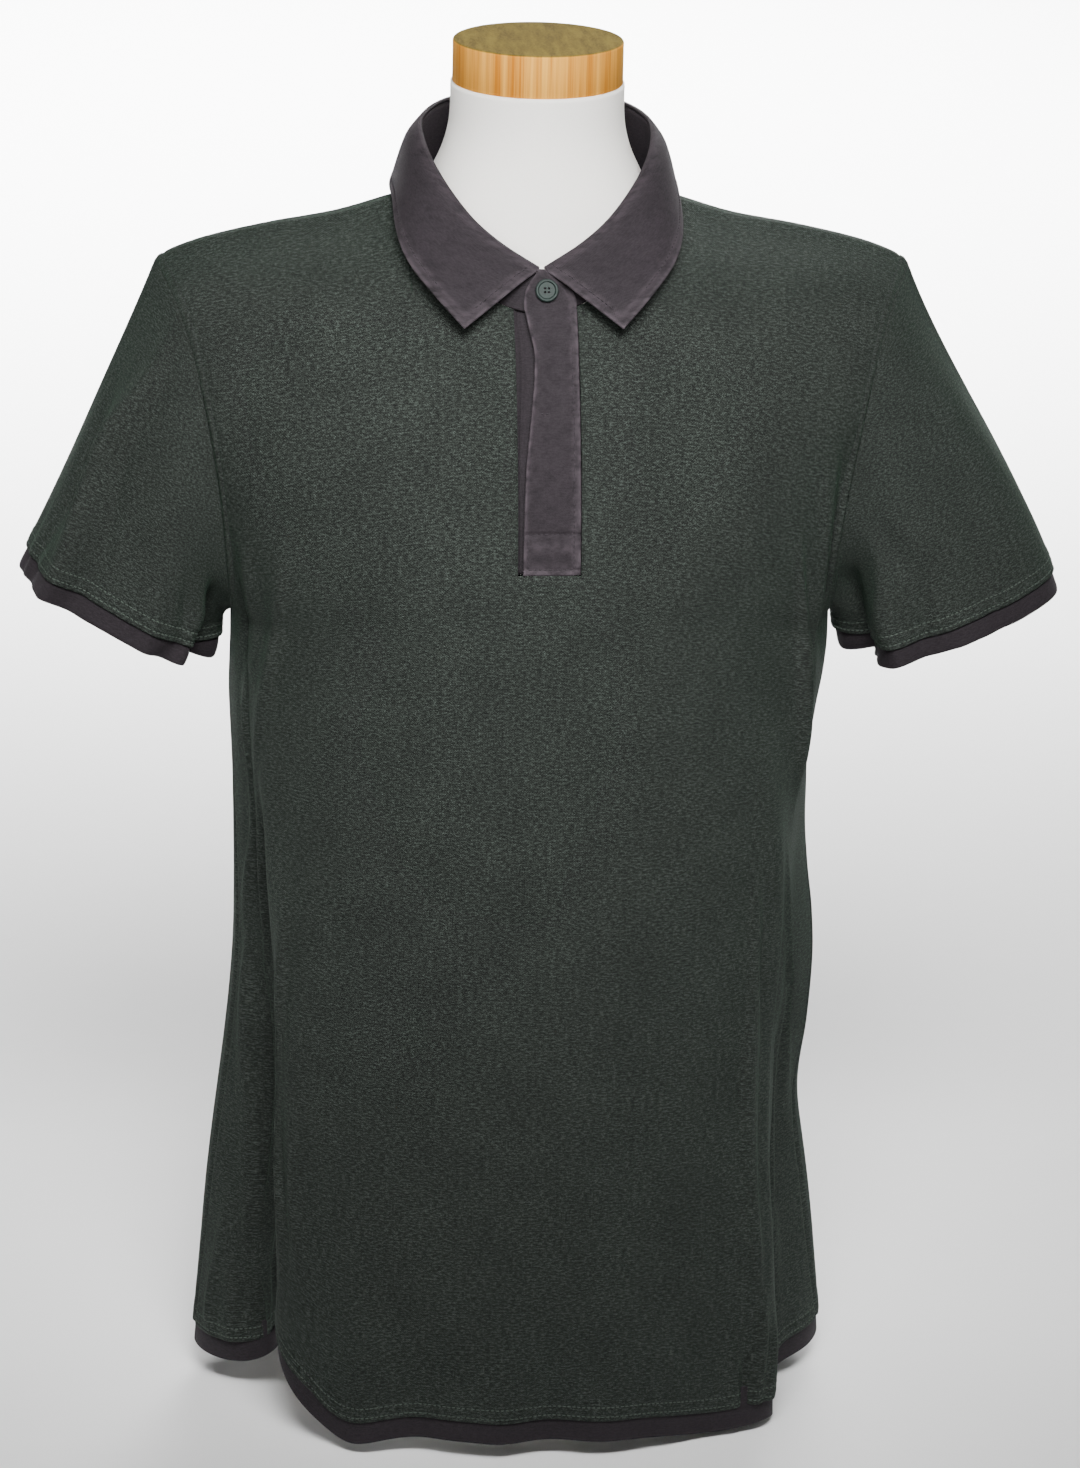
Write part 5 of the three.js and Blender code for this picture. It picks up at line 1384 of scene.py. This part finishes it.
def make_rings(table):
    """Rings inside the shirt's rest surface: across the front, round the arm end, across the
    back. The last ring is folded flat on the shoulder line."""
    v = np.r_[np.linspace(FORM_LOW_V, UNDERARM_V, 60), np.linspace(UNDERARM_V, 1, 60)[1:]]
    across = np.linspace(-FORM_SIDE_SHARE, FORM_SIDE_SHARE, 90)
    front = surface(FRONT_ROWS, across + 0 * v[:, None], v[:, None] + 0 * across)
    back = surface(BACK_ROWS, across + 0 * v[:, None], v[:, None] + 0 * across)[:, ::-1]

    def arm_end(a, b):
        middle = (a + b) / 2
        out = np.minimum(4, 0.15 * np.linalg.norm(a - b, axis=-1))
        middle[:, 0] += np.sign(middle[:, 0]) * out
        return middle[:, None]

    ends = arm_end(front[:, -1], back[:, 0]), arm_end(back[:, -1], front[:, 0])
    rings = np.concatenate([front, ends[0], back, ends[1]], 1)
    normals = grid_normals(rings, body_inside, True)
    count = len(across)
    j = np.arange(count)
    k = 2 * count - j
    mean = unit(normals[-1, j] + normals[-1, k])
    normals[-1, j] = normals[-1, k] = mean
    normals[-1, count], normals[-1, 2 * count + 1] = normals[-1, count - 1], normals[-1, 0]
    ease = read_table(FORM_COLUMNS, table, v)["ease"][:, None]
    placket = np.where(rings[..., 1] < 0, FORM_PLACKET_EASE * swell(rings[..., 0], 34), 0)
    places = rings - normals * (ease + placket)[..., None]
    places[0, :, 2] = rings[0, 0, 2]
    return places


def lathe(name, profile, steps=96, **finish):
    """Level ellipses one over another: rows of height, half width, half depth and place in y. The
    first and the last shrink to a point, which closes the ends."""
    profile = np.array(profile, float)
    first, last = profile[:1] * (1, 0.001, 0.001, 1), profile[-1:] * (1, 0.001, 0.001, 1)
    profile = np.concatenate([first, profile, last])
    turn = np.arange(steps) * 2 * np.pi / steps
    x = profile[:, 1:2] * np.cos(turn)
    y = profile[:, 3:4] + profile[:, 2:3] * np.sin(turn)
    return closed_rings(name, np.stack([x, y, profile[:, :1] + 0 * x], -1), **finish)


def closed_rings(name, rings, **finish):
    """Rings joined to each other, whose first and last are small or flat enough to be ends."""
    rows, columns = rings.shape[:2]
    grid = np.arange(rows * columns).reshape(rows, columns)
    beside = np.roll(grid, -1, 1)
    shell = np.stack([grid[:-1], beside[:-1], beside[1:], grid[1:]], -1).reshape(-1, 4)
    half = np.arange(columns // 2 - 1)
    caps = []
    for ring, way in ((grid[0], -1), (grid[-1], 1)):
        cap = np.stack([ring[half], ring[half + 1], ring[-2 - half], ring[-1 - half]], -1)
        caps.append(cap[:, ::way])
    return make_piece(name, rings.reshape(-1, 3), np.concatenate([shell, *caps]), None, **finish)


# Putting the pieces in

KNIT = {"material": PIQUE_CLOTH, "slot": "pique"}
TRIM = {"material": WOVEN_CLOTH, "slot": "woven"}
BEHIND = -(PIQUE / 2 + LAYER + WOVEN / 2)


def lay_cloth(name, solid, grid, thick, held, rests_on, finish, offset=0.0, wear=None, **shape):
    """A wall of cloth in place of one solid, from a grid's points and normals."""
    points, normals = grid
    piece = wall(name, points, normals, thick, offset, replaces=[solid], **shape, **finish)
    if wear is not None:
        add_wear(piece, wear)
    declare_sheet(points, shape.get("keep"), shape.get("wrap", False))


def thinned(rows, columns, thick, low=False, high=False, left=False, right=False):
    """A wall's thickness, half of itself on the free edges, which rounds them."""
    made = np.full((rows, columns), float(thick))
    for free, edge in (
        (low, np.s_[0]), (high, np.s_[-1]), (left, np.s_[:, 0]), (right, np.s_[:, -1])
    ):
        if free:
            made[edge] *= 0.5
    return made


slit_from = int(np.argmin(np.abs(PANEL_U - SLIT_LEFT)))
slit_to = int(np.argmin(np.abs(PANEL_U - SLIT_RIGHT)))
cells = np.ones((len(PANEL_V) - 1, len(PANEL_U) - 1), bool)
cells[FOOT_ROW:, slit_from:slit_to] = False

for number, name in enumerate(("front", "back")):
    points = stand_back(body[number], ("left", "right", "high"))
    lay_cloth(
        f"{name}_cloth",
        f"{name}_panel",
        (points, body_normals[number]),
        thinned(*points.shape[:2], PIQUE, low=True),
        "draped",
        ["form_torso"],
        KNIT,
        keep=cells if name == "front" else None,
        flat=body_cuts[number],
    )

band_v = np.r_[0, EDGE_V, np.linspace(3 * EDGE_V, BAND_V, 20)]
band_body, band_normals, _ = make_body(band_v, 0.0)
for number, name in enumerate(("front", "back")):
    points = stand_back(band_body[number], ("left", "right"))
    thick = thinned(*points.shape[:2], WOVEN, low=True)
    solid = f"hem_band_{name}"
    grid = points, band_normals[number]
    lay_cloth(f"hem_trim_{name}", solid, grid, thick, "hung", [f"{name}_cloth"], TRIM, BEHIND)

for side, (_, ((points, normals), band)) in sleeves.items():
    name = "right" if side < 0 else "left"
    cloth = stand_back(points, ("low",))
    thick = thinned(*cloth.shape[:2], PIQUE, high=True)
    title, solid = f"{name}_sleeve_cloth", f"sleeve_{name}"
    lay_cloth(title, solid, (cloth, normals), thick, "draped", ["form_torso"], KNIT, wrap=True)
    thick = thinned(*band[0].shape[:2], WOVEN, high=True)
    solid = f"cuff_band_{name}"
    lay_cloth(f"cuff_trim_{name}", solid, band, thick, "hung", [title], TRIM, BEHIND, wrap=True)

grid = stand_back(stand, ("low",)), stand_normals
panels = ["front_cloth", "back_cloth"]
lay_cloth("collar_stand_cloth", "collar_stand", grid, WOVEN, "draped", panels, TRIM)
lay_cloth(
    "collar_leaf_cloth",
    "collar_leaf",
    (leaf, leaf_normals),
    thinned(*leaf.shape[:2], WOVEN, high=True, left=True, right=True),
    "folded",
    ["collar_stand_cloth", *panels],
    TRIM,
    leaf_relief,
    leaf_wear,
)
lay_cloth(
    "placket_over_cloth",
    "placket_over",
    (over, over_normals),
    thinned(*over.shape[:2], WOVEN, low=True, high=True, left=True, right=True),
    "draped",
    ["front_cloth", "placket_under_cloth"],
    TRIM,
    over_offset(over_heights)[:, None] + over_relief,
    over_wear,
)
# How far each column of the lower band lies back: its middle is a dark groove beside the free edge.
UNDER_BACK = np.array([0, -0.3, -1.3, -2.1, -1.3, -1.3, -1, 0, 0]) - (WOVEN + LAYER)
grid = under, under_normals
lay_cloth(
    "placket_under_cloth", "placket_under", grid, WOVEN, "draped", ["form_torso"], TRIM, UNDER_BACK
)

# Stitching


def row_line(points, normals, from_edge, thick, step=1):
    """The line on the outer face at a set distance from the first row, or with step -1 from the
    last, and the way out from it: one place for each column."""
    ordered = points if step > 0 else points[::-1]
    out = normals if step > 0 else normals[::-1]
    reach = lengths_along(ordered, 0)
    line = np.empty_like(ordered[0])
    facing = np.empty_like(line)
    for k in range(3):
        line[:, k] = [np.interp(from_edge, reach[:, j], ordered[:, j, k]) for j in range(len(line))]
        facing[:, k] = [np.interp(from_edge, reach[:, j], out[:, j, k]) for j in range(len(line))]
    facing = unit(facing)
    return line + facing * (thick / 2), facing


lines = []
for number in (0, 1):
    for rise in HEM_STITCHES:
        lines.append(row_line(body[number], body_normals[number], rise, PIQUE))
for loop, ((points, normals), _) in sleeves.values():
    for rise in HEM_STITCHES:
        path, out = row_line(points, normals, rise, PIQUE, step=-1)
        lines.append((np.r_[path, path[:1]], np.r_[out, out[:1]]))
stitches("hem_stitches", lines, GREEN_THREAD, "pique")

lines = []
for number in (0, 1):
    upper = np.s_[UNDERARM_ROW + 1 :]
    turned = np.swapaxes(body[number][upper], 0, 1), np.swapaxes(body_normals[number][upper], 0, 1)
    for step in (1, -1):
        lines.append(row_line(*turned, ARMHOLE_STITCH, PIQUE, step=step))
stitches("armhole_stitches", lines, DARK_THREAD, "pique")

path, out = row_line(leaf, leaf_normals, EDGE_STITCH, WOVEN, step=-1)
lines = [(path[12:-12], out[12:-12])]
turned = np.swapaxes(leaf[9:-9], 0, 1), np.swapaxes(leaf_normals[9:-9], 0, 1)
for step in (1, -1):
    lines.append(row_line(*turned, EDGE_STITCH, WOVEN, step=step))
stitches("collar_stitches", lines, PURPLE_THREAD, "woven")


def over_line(x, z):
    """A line of stitches on the placket's upper band, through places in x and z."""
    places, outs = [], []
    for at_x, at_z in zip(x, z):
        row = int(np.argmin(np.abs(over_heights - at_z)))
        column = int(np.argmin(np.abs(over[row, :, 0] - at_x)))
        lift = over_offset(over_heights[row]) + over_relief[row, column] + WOVEN / 2
        places.append(over[row, column] + over_normals[row, column] * lift)
        outs.append(over_normals[row, column])
    return np.array(places), np.array(outs)


up = np.linspace(BOX_LOW, 706, 40)
sewn_line = read_table(PLACKET_COLUMNS, PLACKET_ROWS, up)["sewn"]
sewn_line = np.minimum(sewn_line, slit_edge(SLIT_RIGHT, up) - SEAM - 0.3) - 3.6
short = np.linspace(BOX_LOW, BOX_HIGH, 8)
free_line = read_table(PLACKET_COLUMNS, PLACKET_ROWS, short)["free"] + 2.2
box = [over_line(sewn_line, up), over_line(free_line, short)]
for height in (BOX_LOW, BOX_HIGH):
    across = np.linspace(free_line[0], sewn_line[0], 24)
    box.append(over_line(across, height + 0 * across))
bar = np.linspace(TACK[0] - 3, TACK[0] + 3, 9)
box.append(over_line(bar, TACK[1] + 0 * bar))
stitches("placket_stitches", box, PURPLE_THREAD, "woven")

# The form, its cap and its painted foot

trunk = make_rings(FORM_ROWS)
closed_rings("form_trunk", trunk, material=FORM_COVER, slot="form", replaces=["form_torso"])
z = np.linspace(NECK_ROWS[0][0], NECK_ROWS[-1][0], 60)
neck = read_table(NECK_COLUMNS, NECK_ROWS, z)
profile = np.stack([z, neck["halfX"], neck["halfY"], neck["y"]], -1)
lathe("form_neck", profile, material=FORM_COVER, slot="form")
turns = np.linspace(0, math.pi / 2, 6)
rounding = [(math.sin(turn) - 1, 1 - math.cos(turn)) for turn in turns]
corner = [(CAP_HIGH + CAP_EDGE * up, CAP_RADIUS - CAP_EDGE * back) for up, back in rounding]
low_edge = [(CAP_LOW, CAP_RADIUS - 0.4), (CAP_LOW + 0.4, CAP_RADIUS)]
profile = [(z, r, r, 0) for z, r in [*low_edge, *corner, (CAP_HIGH, CAP_RADIUS - 3)]]
lathe("bamboo_cap", profile, material=BAMBOO, slot="cap_wood", replaces=["form_cap"])
_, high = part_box("form_foot")
foot_x, foot_y, foot_high = high[0] / MM, high[1] / MM, high[2] / MM + FLOOR
corner = [(foot_high + FOOT_EDGE * up, FOOT_EDGE * back) for up, back in rounding]
low_edge = [(FLOOR, 0.6), (FLOOR + 0.6, 0)]
steps = [*low_edge, *corner, (foot_high, 2 * FOOT_EDGE)]
profile = [(z, foot_x - back, foot_y - back, 0) for z, back in steps]
lathe("painted_foot", profile, material=FORM_COVER, slot="foot_wood", replaces=["form_foot"])
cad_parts["button_top"].material_slots[0].material = BUTTON_RESIN

# Floor and light


def make_floor():
    size = 14
    floor = bpy.data.meshes.new("floor")
    corners = [(-size, -size, 0), (size, -size, 0), (size, size, 0), (-size, size, 0)]
    floor.from_pydata(corners, [], [(0, 1, 2, 3)])
    piece = bpy.data.objects.new("floor", floor)
    bpy.context.scene.collection.objects.link(piece)
    paint = plain_material("pale floor", (0.94, 0.94, 0.94, 1), 0.005, 0.85, 40, 0.0)
    floor.materials.append(paint)


def add_light(name, place, aim, size, power, spread):
    lamp = bpy.data.lights.new(name, "AREA")
    lamp.shape = "ELLIPSE"
    lamp.size, lamp.size_y = size
    lamp.energy = power
    lamp.spread = math.radians(spread)
    light = bpy.data.objects.new(name, lamp)
    light.location = place
    way = Vector(aim) - Vector(place)
    light.rotation_euler = way.to_track_quat("-Z", "Y").to_euler()
    bpy.context.scene.collection.objects.link(light)


LIGHT_COLUMNS = "name place aim size power spread"
LIGHTS = [
    ("front softbox", (0.0, -1.3, 1.6), (0, -0.1, 0.56), (1.1, 0.45), 6.5, 44),
    ("fill softbox", (-0.6, -2.6, 1.2), (-0.1, 0, 0.72), (1.0, 1.0), 1.1, 26),
    ("back softbox", (0.5, 1.9, 1.5), (0, 0, 0.5), (1.6, 1.2), 6.5, 46),
    ("left softbox", (-2.2, 0.9, 1.3), (0, 0, 0.55), (1.2, 1.2), 1.1, 34),
    ("right softbox", (2.2, 0.9, 1.3), (0, 0, 0.55), (1.2, 1.2), 0.9, 34),
    ("floor softbox", (0, 3.8, 3.0), (0, 3.8, 0), (4.2, 4.2), 520, 72),
]
ROOM_LIGHT = 0.05
ROOM_SEEN = 0.8

make_floor()
for row in as_rows(LIGHT_COLUMNS, LIGHTS):
    add_light(**row)
world = bpy.data.worlds.new("studio")
world.use_nodes = True
world.node_tree.nodes["Background"].inputs["Color"].default_value = (1, 1, 1, 1)
seen = add_node(world.node_tree, "ShaderNodeLightPath").outputs["Is Camera Ray"]
strength = work_out(world.node_tree, "MULTIPLY_ADD", seen, ROOM_SEEN, ROOM_LIGHT)
world.node_tree.links.new(strength, world.node_tree.nodes["Background"].inputs["Strength"])
bpy.context.scene.world = world
